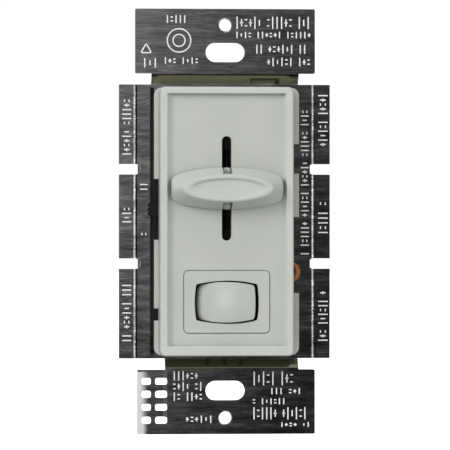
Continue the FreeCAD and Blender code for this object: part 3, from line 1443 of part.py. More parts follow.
def diac():
    x, z = RESISTOR_PLACE
    return axial(DIAC_RADIUS, DIAC_LENGTH, x, z + RESISTOR_COUNT * RESISTOR_PITCH)


def lead_terminals():
    """Three blocks by the exit window that the leads clamp into."""
    wide, tall, deep = TERMINAL_SIZE
    blocks = []
    for index in (-1, 0, 1):
        x = index * (wide + TERMINAL_GAP)
        z = HOUSING_Z - LEAD_EXIT_INSET
        block = box(around(x, wide), (BOARD_REAR, BOARD_REAR + tall), around(z, deep))
        bore = rod("y", TERMINAL_BORE, (BOARD_REAR + TERMINAL_FLOOR, BOARD_REAR + tall + PAST), (x, z))
        blocks.append(block.cut(bore))
    return Part.makeCompound(blocks)


# ---------------------------------------------------------------- assembly
NODES = {
    "yoke": yoke,
    "faceplate": faceplate,
    "front_cover": front_cover,
    "housing": housing,
    "corner_rivets": corner_rivets,
    "triac_rivet": triac_rivet,
    "triac_pad": triac_pad,
    "triac_tab": triac_tab,
    "triac_case": triac_case,
    "triac_leads": triac_leads,
    "circuit_board": circuit_board,
    "board_screws": board_screws,
    "slide_pot_body": slide_pot_body,
    "slide_pot_track": lambda: pot_track(0, SLIDER_Z, POT_WIDTH, POT_LENGTH),
    "slide_pot_carriage": slide_pot_carriage,
    "slide_pot_wiper": lambda: wiper(0, SLIDER_Z),
    "slider_shuttle": slider_shuttle,
    "slider_knob": slider_knob,
    "trim_pot_body": trim_pot_body,
    "trim_pot_track": lambda: pot_track(TRIM_STEM_X, TRIM_Z, TRIM_POT_WIDTH, TRIM_POT_LENGTH),
    "trim_lever": trim_lever,
    "trim_wiper": lambda: wiper(TRIM_STEM_X, TRIM_Z),
    "rocker": rocker,
    "plunger": plunger,
    "plunger_spring": plunger_spring,
    "contact_blade": contact_blade,
    "blade_contacts": blade_contacts,
    "fixed_contacts": fixed_contacts,
    "traveller_terminals": traveller_terminals,
    "common_terminal": common_terminal,
    "switch_base": switch_base,
    "choke_core": choke_core,
    "choke_winding": choke_winding,
    "filter_capacitor": filter_capacitor,
    "timing_capacitor": timing_capacitor,
    "resistors": resistors,
    "diac": diac,
    "lead_terminals": lead_terminals,
}

os.makedirs("parts", exist_ok=True)
for name, make in NODES.items():
    make().exportStep(f"parts/{name}.step")
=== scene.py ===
import bmesh
import bpy
import itertools
import json
import math
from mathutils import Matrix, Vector


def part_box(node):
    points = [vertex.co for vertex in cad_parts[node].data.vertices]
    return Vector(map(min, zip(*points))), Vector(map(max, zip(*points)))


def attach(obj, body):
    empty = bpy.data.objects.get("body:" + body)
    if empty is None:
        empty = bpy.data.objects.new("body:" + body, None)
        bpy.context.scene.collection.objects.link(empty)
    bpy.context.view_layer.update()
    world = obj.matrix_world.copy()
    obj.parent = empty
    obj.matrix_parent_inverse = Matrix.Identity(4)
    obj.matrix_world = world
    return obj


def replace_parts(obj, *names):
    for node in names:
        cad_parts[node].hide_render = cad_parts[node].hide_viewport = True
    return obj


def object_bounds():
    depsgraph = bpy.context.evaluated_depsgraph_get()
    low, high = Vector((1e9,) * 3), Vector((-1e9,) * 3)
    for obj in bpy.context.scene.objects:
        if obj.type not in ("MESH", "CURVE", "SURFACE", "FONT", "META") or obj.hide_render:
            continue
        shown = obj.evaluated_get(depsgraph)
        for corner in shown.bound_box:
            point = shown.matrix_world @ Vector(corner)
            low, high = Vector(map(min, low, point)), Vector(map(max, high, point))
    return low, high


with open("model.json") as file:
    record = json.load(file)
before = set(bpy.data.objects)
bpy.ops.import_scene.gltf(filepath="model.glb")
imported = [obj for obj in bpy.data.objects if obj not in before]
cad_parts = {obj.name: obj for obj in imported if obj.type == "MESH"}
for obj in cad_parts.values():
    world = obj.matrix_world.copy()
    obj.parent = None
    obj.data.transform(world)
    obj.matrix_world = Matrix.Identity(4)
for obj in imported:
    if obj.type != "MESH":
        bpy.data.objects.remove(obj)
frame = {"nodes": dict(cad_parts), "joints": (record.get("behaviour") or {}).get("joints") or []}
cad_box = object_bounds()

# ---------------------------------------------------------------- driving values, in millimetres
MM = 0.001
EAR_FRONT = -1.5  # front of the yoke's ears
PLATE_FRONT = 0.5  # front of the yoke's middle plate
PAD_FRONT = -6.85  # front of the faceplate's raised pad

CAMERA_DISTANCE = 0.9  # metres
CAMERA_TURN = -4.3  # degrees about Z, towards the left
CAMERA_AIM = (-0.05, EAR_FRONT, -0.86)
CAMERA_CLIP = (0.05, 50.0)  # metres
VIEW_WIDTH = 110.9  # what the picture's width shows at the ears' depth
SENSOR = 36.0

NEAR = 0.01  # two places closer than this are the same
MERGE = 0.002  # points closer than this become one


def mm(*values):
    """A vector whose values are given in millimetres."""
    return Vector([value * MM for value in values])


def box_mm(node):
    """A CAD node's lowest and highest corners, in millimetres."""
    return [[value / MM for value in corner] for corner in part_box(node)]


def joint_mm(name):
    """Where a joint's axis passes, in millimetres."""
    for joint in frame["joints"]:
        if joint["name"] == name:
            return [value / MM for value in joint["pos_m"]]


PIVOT = joint_mm("rocker_pivot")[1:]  # the rocker's axis, in Y and Z


# ---------------------------------------------------------------- materials
MIX_SOCKETS = (0, 6, 7)  # a colour mix node's factor and its two colours
MIX_RESULT = 2
PAINTED_SHADE_SAMPLES = 12
WHITE = (1.0, 1.0, 1.0, 1.0)


def srgb(red, green, blue):
    """A colour given in 0 to 255, as linear light by the sRGB curve."""
    linear = []
    for value in (red / 255, green / 255, blue / 255):
        linear.append(value / 12.92 if value <= 0.04045 else ((value + 0.055) / 1.055) ** 2.4)
    return (*linear, 1.0)


class Finish:
    """A Principled material, with short calls for the nodes that feed it. Its textures lie in metres."""

    def __init__(self, name, colour, roughness, metallic=0.0, **sockets):
        self.material = bpy.data.materials.new(name)
        self.material.use_nodes = True
        self.nodes = self.material.node_tree.nodes
        self.links = self.material.node_tree.links
        self.shader = self.nodes["Principled BSDF"]
        self.place = self.nodes.new("ShaderNodeTexCoord").outputs["Object"]
        self.set("Base Color", colour)
        self.set("Roughness", roughness)
        self.set("Metallic", metallic)
        for socket, value in sockets.items():
            self.set(socket.replace("_", " "), value)
        self.normal = None

    def set(self, socket, value):
        """Gives one of the shader's sockets a value."""
        self.shader.inputs[socket].default_value = value

    def noise(self, size, detail=4.0, stretch=(1, 1, 1), roughness=0.5):
        """Noise whose features are about size millimetres, drawn out along an axis by stretch."""
        scaling = self.nodes.new("ShaderNodeMapping")
        scaling.inputs["Scale"].default_value = [1 / (size * MM * along) for along in stretch]
        self.links.new(self.place, scaling.inputs["Vector"])
        texture = self.nodes.new("ShaderNodeTexNoise")
        texture.inputs["Scale"].default_value = 1.0
        texture.inputs["Detail"].default_value = detail
        texture.inputs["Roughness"].default_value = roughness
        self.links.new(scaling.outputs["Vector"], texture.inputs["Vector"])
        return texture.outputs["Fac"]

    def ramp(self, source, *stops):
        """Maps a value to colours or greys; a stop is its position and its grey or colour."""
        ramp = self.nodes.new("ShaderNodeValToRGB")
        elements = ramp.color_ramp.elements
        while len(elements) < len(stops):
            elements.new(0.5)
        for element, (position, value) in zip(elements, stops):
            element.position = position
            element.color = value if isinstance(value, tuple) else (value, value, value, 1.0)
        self.links.new(source, ramp.inputs["Fac"])
        return ramp.outputs["Color"]

    def blend(self, mask, first, second, mode="MIX"):
        """Mixes two colours or outputs by a mask."""
        mix = self.nodes.new("ShaderNodeMix")
        mix.data_type = "RGBA"
        mix.blend_type = mode
        for socket, value in zip(MIX_SOCKETS, (mask, first, second)):
            if isinstance(value, (tuple, float, int)):
                mix.inputs[socket].default_value = value
            else:
                self.links.new(value, mix.inputs[socket])
        return mix.outputs[MIX_RESULT]

    def tint(self, output):
        """Takes the base colour from a node's output."""
        self.links.new(output, self.shader.inputs["Base Color"])

    def rough(self, source, low, high):
        """Lets the roughness follow a value, between low and high."""
        self.links.new(self.ramp(source, (0.3, low), (0.7, high)), self.shader.inputs["Roughness"])

    def bump(self, source, height):
        """Adds relief of about this height, in millimetres, over what is there already."""
        bump = self.nodes.new("ShaderNodeBump")
        bump.inputs["Distance"].default_value = height * MM
        self.links.new(source, bump.inputs["Height"])
        if self.normal:
            self.links.new(self.normal, bump.inputs["Normal"])
        self.normal = bump.outputs["Normal"]
        self.links.new(self.normal, self.shader.inputs["Normal"])

    def painted_gap_shade(self, reach, depth):
        """Painted shade: darkens the colour in gaps and inner corners by how closed in they are; depth is
        the stops from closed to open.
        """
        near = self.nodes.new("ShaderNodeAmbientOcclusion")
        near.samples = PAINTED_SHADE_SAMPLES
        near.inputs["Distance"].default_value = reach * MM
        shadow = self.ramp(near.outputs["AO"], *depth)
        paint = self.shader.inputs["Base Color"].links[0].from_socket
        self.tint(self.blend(1.0, paint, shadow, mode="MULTIPLY"))

    def axis(self, name):
        """One coordinate, in metres."""
        split = self.nodes.new("ShaderNodeSeparateXYZ")
        self.links.new(self.place, split.inputs["Vector"])
        return split.outputs[name]

    def between(self, source, low, high):
        """1 where a value lies between low and high, in millimetres, and 0 elsewhere."""
        compare = self.nodes.new("ShaderNodeMath")
        compare.operation = "COMPARE"
        compare.inputs[1].default_value = (low + high) / 2 * MM
        compare.inputs[2].default_value = (high - low) / 2 * MM
        self.links.new(source, compare.inputs[0])
        return compare.outputs["Value"]

    def fade(self, source, start, end):
        """1 below start and 0 above end, in millimetres, with a smooth change between them."""
        change = self.nodes.new("ShaderNodeMapRange")
        change.interpolation_type = "SMOOTHSTEP"
        span = {"From Min": start * MM, "From Max": end * MM, "To Min": 1.0, "To Max": 0.0}
        for socket, value in span.items():
            change.inputs[socket].default_value = value
        self.links.new(source, change.inputs["Value"])
        return change.outputs["Result"]

    def both(self, first, second):
        """1 where both masks are 1."""
        product = self.nodes.new("ShaderNodeMath")
        product.operation = "MULTIPLY"
        self.links.new(first, product.inputs[0])
        self.links.new(second, product.inputs[1])
        return product.outputs["Value"]


def shade(colour, factor):
    """The colour made lighter or darker."""
    return (*(min(1.0, channel * factor) for channel in colour[:3]), 1.0)


def moulded(name, colour, roughness, grain=0.12, relief=0.004, painted_gap_shade=None, shade_behind=None, **sockets):
    """Moulded plastic: a faint cloudy colour, a fine spark-eroded grain and slow flow waves.

    One argument gives the reach and the depth of shade painted into gaps and inner corners. Behind a Y
    given in another, the colour is painted a little darker, a painted shade on the sunk field.
    """
    finish = Finish(name, colour, roughness, **sockets)
    cloud = finish.noise(9.0, detail=3.0)
    paint = finish.ramp(cloud, (0.3, shade(colour, 0.97)), (0.7, shade(colour, 1.03)))
    # painted shade: a darker colour behind the given Y, over the sunk field
    if shade_behind:
        shaded_recess = finish.between(finish.axis("Y"), shade_behind, 0)
        paint = finish.blend(shaded_recess, paint, finish.blend(1.0, paint, RECESS_SHADE_TINT, mode="MULTIPLY"))
    finish.tint(paint)
    speck = finish.noise(grain, detail=2.0)
    finish.rough(finish.noise(2.5), roughness * 0.88, min(1.0, roughness * 1.15))
    finish.bump(finish.noise(14.0, detail=1.0), 0.03)
    finish.bump(speck, relief)
    # painted shade: the colour darkened in gaps and inner corners
    if painted_gap_shade:
        finish.painted_gap_shade(*painted_gap_shade)
    return finish.material


def rolled(name, colour, roughness, along=(14, 1, 1), streak=0.16, relief=0.004, dirt=0.12, **sockets):
    """Rolled or brushed metal: fine streaks drawn out by along, small pits and duller patches."""
    finish = Finish(name, colour, roughness, metallic=1.0, **sockets)
    lines = finish.noise(streak, detail=6.0, stretch=along, roughness=0.65)
    patch = finish.noise(11.0, detail=5.0)
    streaked = finish.ramp(lines, (0.3, shade(colour, 0.82)), (0.7, shade(colour, 1.08)))
    worn = finish.ramp(patch, (0.35, shade(colour, 1 - dirt)), (0.65, shade(colour, 1.0)))
    finish.tint(finish.blend(0.45, streaked, worn))
    finish.rough(lines, roughness * 0.75, min(1.0, roughness * 1.3))
    finish.bump(lines, relief)
    finish.bump(finish.noise(0.35, detail=3.0), relief * 0.6)
    return finish.material


def enamelled_wire():
    """Copper wire under clear brown enamel."""
    coat = {"Coat_Weight": 0.6, "Coat_Roughness": 0.12}
    finish = Finish("enamelled_wire", srgb(150, 72, 30), 0.22, metallic=0.85, **coat)
    wave = finish.noise(1.2, detail=3.0)
    finish.tint(finish.ramp(wave, (0.3, srgb(120, 52, 20)), (0.7, srgb(178, 92, 42))))
    finish.rough(wave, 0.16, 0.32)
    finish.bump(finish.noise(0.5), 0.008)
    return finish.material


def board_laminate():
    """Pale brown laminate: two crossed sets of fibres under a thin lacquer."""
    finish = Finish("board_laminate", srgb(172, 130, 70), 0.42, Coat_Weight=0.3, Coat_Roughness=0.2)
    weave = finish.noise(0.5, detail=2.0, stretch=(6, 1, 1))
    cross = finish.noise(0.5, detail=2.0, stretch=(1, 1, 6))
    base = finish.ramp(weave, (0.35, srgb(150, 108, 54)), (0.65, srgb(188, 148, 86)))
    other = finish.ramp(cross, (0.35, srgb(140, 100, 50)), (0.65, srgb(182, 142, 82)))
    finish.tint(finish.blend(0.5, base, other))
    finish.rough(weave, 0.34, 0.5)
    finish.bump(weave, 0.01)
    finish.bump(cross, 0.01)
    return finish.material


def banded(name, colour, bands, axis, roughness=0.4):
    """A dipped component body with painted bands; a band is (low, high, colour) along the axis."""
    finish = Finish(name, colour, roughness, Coat_Weight=0.4, Coat_Roughness=0.15)
    lumps = finish.noise(1.1, detail=3.0)
    paint = finish.ramp(lumps, (0.3, shade(colour, 0.88)), (0.7, shade(colour, 1.08)))
    where = finish.axis(axis)
    for low, high, band in bands:
        paint = finish.blend(finish.between(where, low, high), paint, band)
    finish.tint(paint)
    finish.rough(lumps, roughness * 0.8, roughness * 1.2)
    finish.bump(lumps, 0.02)
    return finish.material


def ferrite():
    """Pressed powder: coarse dull grains."""
    finish = Finish("ferrite", srgb(62, 64, 66), 0.6)
    grains = finish.noise(0.25, detail=5.0, roughness=0.7)
    finish.tint(finish.ramp(grains, (0.35, srgb(40, 41, 43)), (0.65, srgb(84, 86, 88))))
    finish.rough(grains, 0.5, 0.75)
    finish.bump(grains, 0.03)
    return finish.material


GREY = srgb(193, 197, 190)
ALUMINIUM = (0.80, 0.80, 0.80, 1.0)
# painted shade in gaps: the reach in millimetres, then stops from closed to open, each an openness and a
# brightness
FACE_PAINTED_SHADE = (1.6, ((0.08, 0.03), (0.3, 0.45), (0.55, 1.0)))
ROCKER_PAINTED_SHADE = (3.4, ((0.3, 0.0), (0.55, 0.08), (0.68, 0.55), (0.86, 1.0)))
RECESS_SHADE_TINT = (0.9, 0.9, 0.9, 1.0)  # painted shade: the sunk field and everything behind it are painted darker than the rim
RECESS_SHADE_FRONT = PAD_FRONT - 0.15

grey_plastic = moulded(
    "grey_plastic",
    shade(GREY, 1.03),
    0.38,
    grain=0.1,
    relief=0.0022,
    painted_gap_shade=FACE_PAINTED_SHADE,
    shade_behind=RECESS_SHADE_FRONT,
)
knob_plastic = moulded("knob_plastic", shade(GREY, 0.99), 0.34, grain=0.12, relief=0.0018)
rocker_plastic = moulded(
    "rocker_plastic",
    shade(GREY, 0.92),
    0.2,
    grain=0.12,
    relief=0.001,
    painted_gap_shade=ROCKER_PAINTED_SHADE,
)
black_plastic = moulded("black_plastic", srgb(17, 17, 18), 0.42, relief=0.006, Specular_IOR_Level=0.3)
housing_plastic = moulded("housing_plastic", srgb(30, 30, 32), 0.5, grain=0.25, relief=0.012)
brown_phenolic = moulded("brown_phenolic", srgb(84, 52, 34), 0.5, grain=0.3, relief=0.01)
epoxy = moulded("epoxy", srgb(38, 38, 40), 0.55, grain=0.08, relief=0.006)
mica = moulded("mica", srgb(196, 190, 172), 0.35, grain=0.6, relief=0.006)
terminal_green = moulded("terminal_plastic", srgb(64, 92, 74), 0.45, grain=0.2, relief=0.008)
carbon_film = rolled("carbon_film", srgb(58, 58, 60), 0.5, along=(1, 1, 14))


NECK_HEIGHTS = ((34.0, 36.4), (-36.4, -34.0))  # the bends between the middle plate and each ear
# painted reflection and shade: the dark olive that the bends are tinted
NECK_PAINTED_REFLECTION = (0.30, 0.29, 0.19, 1.0)
LATTICE_HIGHLIGHT_ACROSS = (-20.6, -18.9)  # painted highlight: the white on the lattice's outer bar fades out between these
LATTICE_HIGHLIGHT_HEIGHTS = (-53.0, -37.0)
LATTICE_HIGHLIGHT_COLOUR = (0.9, 0.9, 0.89, 1.0)
LATTICE_HIGHLIGHT_ROUGHNESS = (0.36, 0.36, 0.36, 1.0)
LATTICE_HIGHLIGHT_METAL = (0.45, 0.45, 0.45, 1.0)


def yoke_aluminium():
    """Bright rolled sheet: streaks along X, slow waves, a painted reflection of olive shade on the bends,
    and a painted highlight on the lattice's outer bar.
    """
    finish = Finish("yoke_aluminium", ALUMINIUM, 0.11, metallic=1.0)
    lines = finish.noise(0.16, detail=6.0, stretch=(30, 1, 1), roughness=0.7)
    smears = finish.noise(1.5, detail=5.0, stretch=(6, 1, 1), roughness=0.7)
    streaked = finish.ramp(lines, (0.36, 0.16), (0.62, 1.0))
    smeared = finish.ramp(smears, (0.35, 0.42), (0.7, 1.0))
    paint = finish.blend(0.5, streaked, smeared)
    height = finish.axis("Z")
    # painted reflection: the bends between the middle plate and the ears tinted dark olive
    for low, high in NECK_HEIGHTS:
        paint = finish.blend(finish.between(height, low, high), paint, NECK_PAINTED_REFLECTION)
    # painted highlight: the lattice's outer bar painted white, rougher and less metallic
    outer = finish.fade(finish.axis("X"), *LATTICE_HIGHLIGHT_ACROSS)
    highlighted_bar = finish.both(outer, finish.between(height, *LATTICE_HIGHLIGHT_HEIGHTS))
    finish.tint(finish.blend(highlighted_bar, paint, LATTICE_HIGHLIGHT_COLOUR))
    satin = finish.ramp(smears, (0.3, 0.07), (0.7, 0.16))
    roughness = finish.blend(highlighted_bar, satin, LATTICE_HIGHLIGHT_ROUGHNESS)
    bare = finish.blend(highlighted_bar, WHITE, LATTICE_HIGHLIGHT_METAL)
    finish.links.new(roughness, finish.shader.inputs["Roughness"])
    finish.links.new(bare, finish.shader.inputs["Metallic"])
    finish.bump(finish.noise(9.0, detail=2.0), 0.03)
    finish.bump(smears, 0.003)
    finish.bump(lines, 0.0012)
    return finish.material


yoke_metal = yoke_aluminium()
copper = srgb(232, 150, 100)
rivet_copper = rolled("rivet_copper", copper, 0.3, along=(1, 1, 1), streak=0.4, Metallic=0.55)
brass = rolled("brass", srgb(200, 168, 96), 0.3, along=(8, 1, 1))
spring_steel = rolled("spring_steel", srgb(170, 170, 168), 0.28, along=(1, 1, 10))
zinc = rolled("zinc_plate", srgb(186, 188, 190), 0.34, along=(1, 1, 1), streak=0.5)
silver = rolled("silver_contact", srgb(214, 212, 206), 0.25, along=(1, 1, 1), streak=0.3)
tinned = rolled("tinned_copper", srgb(190, 188, 182), 0.32, along=(1, 1, 8))
wire_enamel = enamelled_wire()
laminate = board_laminate()
ferrite_core = ferrite()
film_case = moulded("film_case", srgb(196, 150, 54), 0.4, grain=0.35, relief=0.012, Coat_Weight=0.3)
green_dip = moulded("green_dip", srgb(72, 104, 56), 0.32, grain=0.7, relief=0.03, Coat_Weight=0.5)

NODE_FINISH = {
    "yoke": yoke_metal,
    "faceplate": grey_plastic,
    "slider_shuttle": grey_plastic,
    "trim_lever": black_plastic,
    "front_cover": black_plastic,
    "housing": housing_plastic,
    "corner_rivets": zinc,
    "triac_rivet": rivet_copper,
    "triac_pad": mica,
    "triac_tab": tinned,
    "triac_case": epoxy,
    "triac_leads": tinned,
    "circuit_board": laminate,
    "board_screws": zinc,
    "slide_pot_body": brown_phenolic,
    "slide_pot_track": carbon_film,
    "slide_pot_carriage": black_plastic,
    "slide_pot_wiper": brass,
    "trim_pot_body": brown_phenolic,
    "trim_pot_track": carbon_film,
    "trim_wiper": brass,
    "plunger": brown_phenolic,
    "plunger_spring": spring_steel,
    "contact_blade": brass,
    "blade_contacts": silver,
    "fixed_contacts": silver,
    "traveller_terminals": brass,
    "common_terminal": brass,
    "switch_base": brown_phenolic,
    "choke_core": ferrite_core,
    "choke_winding": wire_enamel,
    "filter_capacitor": film_case,
    "timing_capacitor": green_dip,
    "lead_terminals": terminal_green,
}


def band_spans(node, first, step, width, colours):
    """Bands along X, each a low end, a high end and a colour, counted from the node's left end."""
    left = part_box(node)[0][0] / MM
    spans = []
    for index, colour in enumerate(colours):
        low = left + first + index * step
        spans.append((low, low + width, colour))
    return spans


# the first band's start, the pitch and the width
RESISTOR_SPACING = (3.4, 1.15, 0.6)
DIAC_SPACING = (4.2, 1.0, 0.7)
RESISTOR_BANDS = (srgb(110, 60, 30), srgb(20, 20, 20), srgb(220, 120, 30), srgb(190, 150, 60))
DIAC_BANDS = (srgb(18, 18, 18),)
NODE_FINISH["resistors"] = banded(
    "resistor_body",
    srgb(206, 180, 138),
    band_spans("resistors", *RESISTOR_SPACING, RESISTOR_BANDS),
    "X",
)
NODE_FINISH["diac"] = banded(
    "diac_body",
    srgb(150, 66, 40),
    band_spans("diac", *DIAC_SPACING, DIAC_BANDS),
    "X",
    roughness=0.2,
)

for name, node in frame["nodes"].items():
    if name in NODE_FINISH:
        node.data.materials.clear()
        node.data.materials.append(NODE_FINISH[name])


# ---------------------------------------------------------------- mesh helpers
def finished(name, mesh, shape, finish, body, smooth=True):
    """Writes a shape into its mesh, and gives the object that carries it on a CAD body."""
    shape.to_mesh(mesh)
    shape.free()
    for polygon in mesh.polygons:
        polygon.use_smooth = smooth
    mesh.materials.append(finish)
    made = bpy.data.objects.new(name, mesh)
    bpy.context.scene.collection.objects.link(made)
    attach(made, body)
    return made


def piece(name, vertices, faces, finish, body, smooth=True):
    """A mesh piece in millimetres, with outward faces, riding on a CAD body."""
    mesh = bpy.data.meshes.new(name)
    mesh.from_pydata([tuple(mm(*vertex)) for vertex in vertices], [], faces)
    shape = bmesh.new()
    shape.from_mesh(mesh)
    bmesh.ops.remove_doubles(shape, verts=shape.verts, dist=MERGE * MM)
    bmesh.ops.recalc_face_normals(shape, faces=shape.faces)
    return finished(name, mesh, shape, finish, body, smooth)


def full_turn(steps):
    """Angles of evenly spaced points on a circle."""
    return [2 * math.pi * step / steps for step in range(steps)]


def ring_faces(rings, count):
    """Quads between rings of count points."""
    faces = []
    for here in range(0, (rings - 1) * count, count):
        there = here + count
        for index in range(count):
            after = (index + 1) % count
            faces.append((here + index, here + after, there + after, there + index))
    return faces


def end_faces(rings, count):
    """The faces that close the first and the last ring."""
    return [tuple(range(count)), tuple(range((rings - 1) * count, rings * count))]


# ---------------------------------------------------------------- slider knob
KNOB_BOX = box_mm("slider_knob")
KNOB_HALF = ((KNOB_BOX[1][0] - KNOB_BOX[0][0]) / 2, (KNOB_BOX[1][2] - KNOB_BOX[0][2]) / 2)
SLIDER_Z = (KNOB_BOX[0][2] + KNOB_BOX[1][2]) / 2
KNOB_CREST = (11.2, 3.3)  # half sizes of the oval where the slopes end
KNOB_DISH = (8.85, 2.25)  # half sizes of the dish
KNOB_REAR = KNOB_BOX[1][1]
KNOB_TOP = KNOB_BOX[0][1]
KNOB_SKIRT = 0.9  # the upright skirt's height
KNOB_KEEL = 1.5  # the keel's height over the skirt at each blunt end
KNOB_KEEL_START = 0.7  # the share of the half width past which the keel shows
KNOB_BLUNT = 7.0  # the power of the outline's rounded ends
KNOB_TAPER = 0.36  # how much lower the ends are than the middle
KNOB_SEGMENTS = 192
KNOB_PULL_IN = 0.995  # the rear edge's size against the outline
KNOB_REAR_ROUND = 0.12
KNOB_FOOT_RISE = 0.1  # where the evenly rising slope starts, over the keel's edge
KNOB_BULGE = 0.96  # below 1 the slopes bulge
KNOB_SHARP = math.radians(32)
# each is a share of the way from the outline to the crest, and a height over the keel's edge;
# without a height, the slope rises evenly to the crest
KNOB_SLOPE = ((0.0, -0.1), (0.03, 0.12), (0.09, 0.26), (0.3, None), (0.6, None), (0.85, None), (0.96, None))
# each is a share of the way from the crest to the dish's edge, and a height over the knob's front
KNOB_RIDGE = (
    (0.0, -0.24),
    (0.12, -0.1),
    (0.3, -0.02),
    (0.5, 0.0),
    (0.72, -0.05),
    (0.88, -0.14),
    (1.0, -0.26),
)
# each is a share of the dish's size, and a height over the knob's front
KNOB_BOWL = ((0.955, -0.46), (0.9, -0.56), (0.8, -0.61), (0.6, -0.63), (0.35, -0.64), (0.12, -0.64))
KNOB_NOTCH = (2.3, 3.55)  # width, and its inner end above and below the middle
TANG = (2.04, 3.25, 5.5)  # the socket for the shuttle's tang, in X, Y and Z
PAST = 1.0  # how far a cut runs past the surface


def knob_outline(angle):
    """A point on the knob's outline, and how high the keel makes the edge there."""
    wide, tall = KNOB_HALF
    across, up = math.cos(angle), math.sin(angle)
    reach = (abs(across) ** KNOB_BLUNT + abs(up) ** KNOB_BLUNT) ** (-1 / KNOB_BLUNT)
    x, z = across * reach, up * reach
    z *= 1 - KNOB_TAPER * x * x
    end = tall * (1 - KNOB_TAPER)
    keel = 0.0
    if abs(x) > KNOB_KEEL_START:
        keel = KNOB_KEEL * (0.5 + 0.5 * math.cos(math.pi * min(1.0, abs(z) * tall / end)))
    return x * wide, z * tall, keel


def slope_ring(inward, edge, angles):
    """A ring on the slopes, a share of the way inward from the outline to the crest."""
    top = KNOB_REAR - KNOB_SKIRT - KNOB_TOP + KNOB_RIDGE[0][1]
    ring = []
    for angle in angles:
        x, z, keel = knob_outline(angle)
        crest_x, crest_z = KNOB_CREST[0] * math.cos(angle), KNOB_CREST[1] * math.sin(angle)
        if edge is None:
            start = keel + KNOB_FOOT_RISE
            height = start + (top - start) * inward**KNOB_BULGE
        else:
            height = keel + edge
        y = KNOB_REAR - KNOB_SKIRT - height
        ring.append((x + (crest_x - x) * inward, y, z + (crest_z - z) * inward))
    return ring


def oval(wide, tall, height, angles):
    """A ring of these half sizes, at a height over the knob's front."""
    return [(wide * math.cos(angle), KNOB_TOP - height, tall * math.sin(angle)) for angle in angles]


def knob_rings():
    """Rings of the knob's surface from its rear edge, over the slopes and the ridge, into the dish."""
    angles = full_turn(KNOB_SEGMENTS)
    outline = [knob_outline(angle) for angle in angles]
    rings = [[(x * KNOB_PULL_IN, KNOB_REAR, z * KNOB_PULL_IN) for x, z, keel in outline]]
    rings.append([(x, KNOB_REAR - KNOB_REAR_ROUND, z) for x, z, keel in outline])
    for inward, edge in KNOB_SLOPE:
        rings.append(slope_ring(inward, edge, angles))
    for inward, height in KNOB_RIDGE:
        wide, tall = (crest + (dish - crest) * inward for crest, dish in zip(KNOB_CREST, KNOB_DISH))
        rings.append(oval(wide, tall, height, angles))
    for scale, height in KNOB_BOWL:
        rings.append(oval(KNOB_DISH[0] * scale, KNOB_DISH[1] * scale, height, angles))
    return rings


def cutter(low, high):
    """A box to cut with, in millimetres."""
    corners = itertools.product(*zip(low, high))
    mesh = bpy.data.meshes.new("cutter")
    shape = bmesh.new()
    for corner in corners:
        shape.verts.new(mm(*corner))
    bmesh.ops.convex_hull(shape, input=shape.verts)
    bmesh.ops.recalc_face_normals(shape, faces=shape.faces)
    shape.to_mesh(mesh)
    shape.free()
    made = bpy.data.objects.new("cutter", mesh)
    bpy.context.scene.collection.objects.link(made)
    return made


def cut_away(target, boxes):
    """Cuts boxes out of a piece's mesh."""
    cutters = [cutter(low, high) for low, high in boxes]
    for made in cutters:
        step = target.modifiers.new("cut", "BOOLEAN")
        step.operation = "DIFFERENCE"
        step.solver = "EXACT"
        step.object = made
    bpy.context.view_layer.update()
    ready = target.evaluated_get(bpy.context.evaluated_depsgraph_get())
    mesh = bpy.data.meshes.new_from_object(ready)
    target.modifiers.clear()
    target.data = mesh
    for made in cutters:
        bpy.data.objects.remove(made)


def knob_cuts():
    """The socket for the shuttle's tang, and a notch above and below the crest, as boxes."""
    wide, deep, tall = TANG
    front, rear = KNOB_TOP - PAST, KNOB_REAR + PAST
    cuts = [((-wide / 2, KNOB_REAR - deep, SLIDER_Z - tall / 2), (wide / 2, rear, SLIDER_Z + tall / 2))]
    half, inner = KNOB_NOTCH[0] / 2, KNOB_NOTCH[1]
    outer = KNOB_HALF[1] + PAST
    for low, high in ((inner, outer), (-outer, -inner)):
        cuts.append(((-half, front, SLIDER_Z + low), (half, rear, SLIDER_Z + high)))
    return cuts


def knob():
    """The sliding knob: blunt keeled ends, bulging slopes, an oval crest and a shallow dish."""
    rings = knob_rings()
    points = [(x, y, SLIDER_Z + z) for ring in rings for x, y, z in ring]
    faces = ring_faces(len(rings), KNOB_SEGMENTS) + end_faces(len(rings), KNOB_SEGMENTS)
    made = piece("knob", points, faces, knob_plastic, "slider")
    cut_away(made, knob_cuts())
    made.data.set_sharp_from_angle(angle=KNOB_SHARP)
    return made


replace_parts(knob(), "slider_knob")


# ---------------------------------------------------------------- rocker
ROCKER_HALF = (7.64, 4.98)  # half width and half height
ROCKER_CORNER_HEIGHT = 4.17  # where the bowed upper and lower edges meet the sides
ROCKER_OUTER = 6.0  # an upright edge farther out than this is at a corner
ROCKER_DROP = 0.2  # and it runs back at least this far
ROCKER_SIDE_BOW = 0.3
ROCKER_TOP = PAD_FRONT - 0.35
ROCKER_CROWN = (3.5, 0.1)  # half width of the rounded middle, and its sag
ROCKER_SLOPE = math.tan(math.radians(10))
ROCKER_REST = math.radians(-7)
ROCKER_FOOT = PIVOT[0] + 1.7
ROCKER_ACROSS = (-1, -0.8, -0.65, -0.53, -0.5, -0.33, -0.17, 0, 0.17, 0.33, 0.5, 0.53, 0.65, 0.8, 1)
ROCKER_DOWN = (0.7, 0.35, 0, -0.35, -0.7)
ROCKER_DEPTHS = (0.0, 0.35, 0.7, 1.0)  # shares of the way from the front to the foot
ROCKER_FACET = 3  # the point of ROCKER_ACROSS where the middle facet starts
ROCKER_SOFT = ((0.55, 5), (0.13, 4))  # the corners' and the rim's rounding, each a size and its steps
ROCKER_RIM_TURN = math.radians(45)  # an edge that turns more than this is on the rim
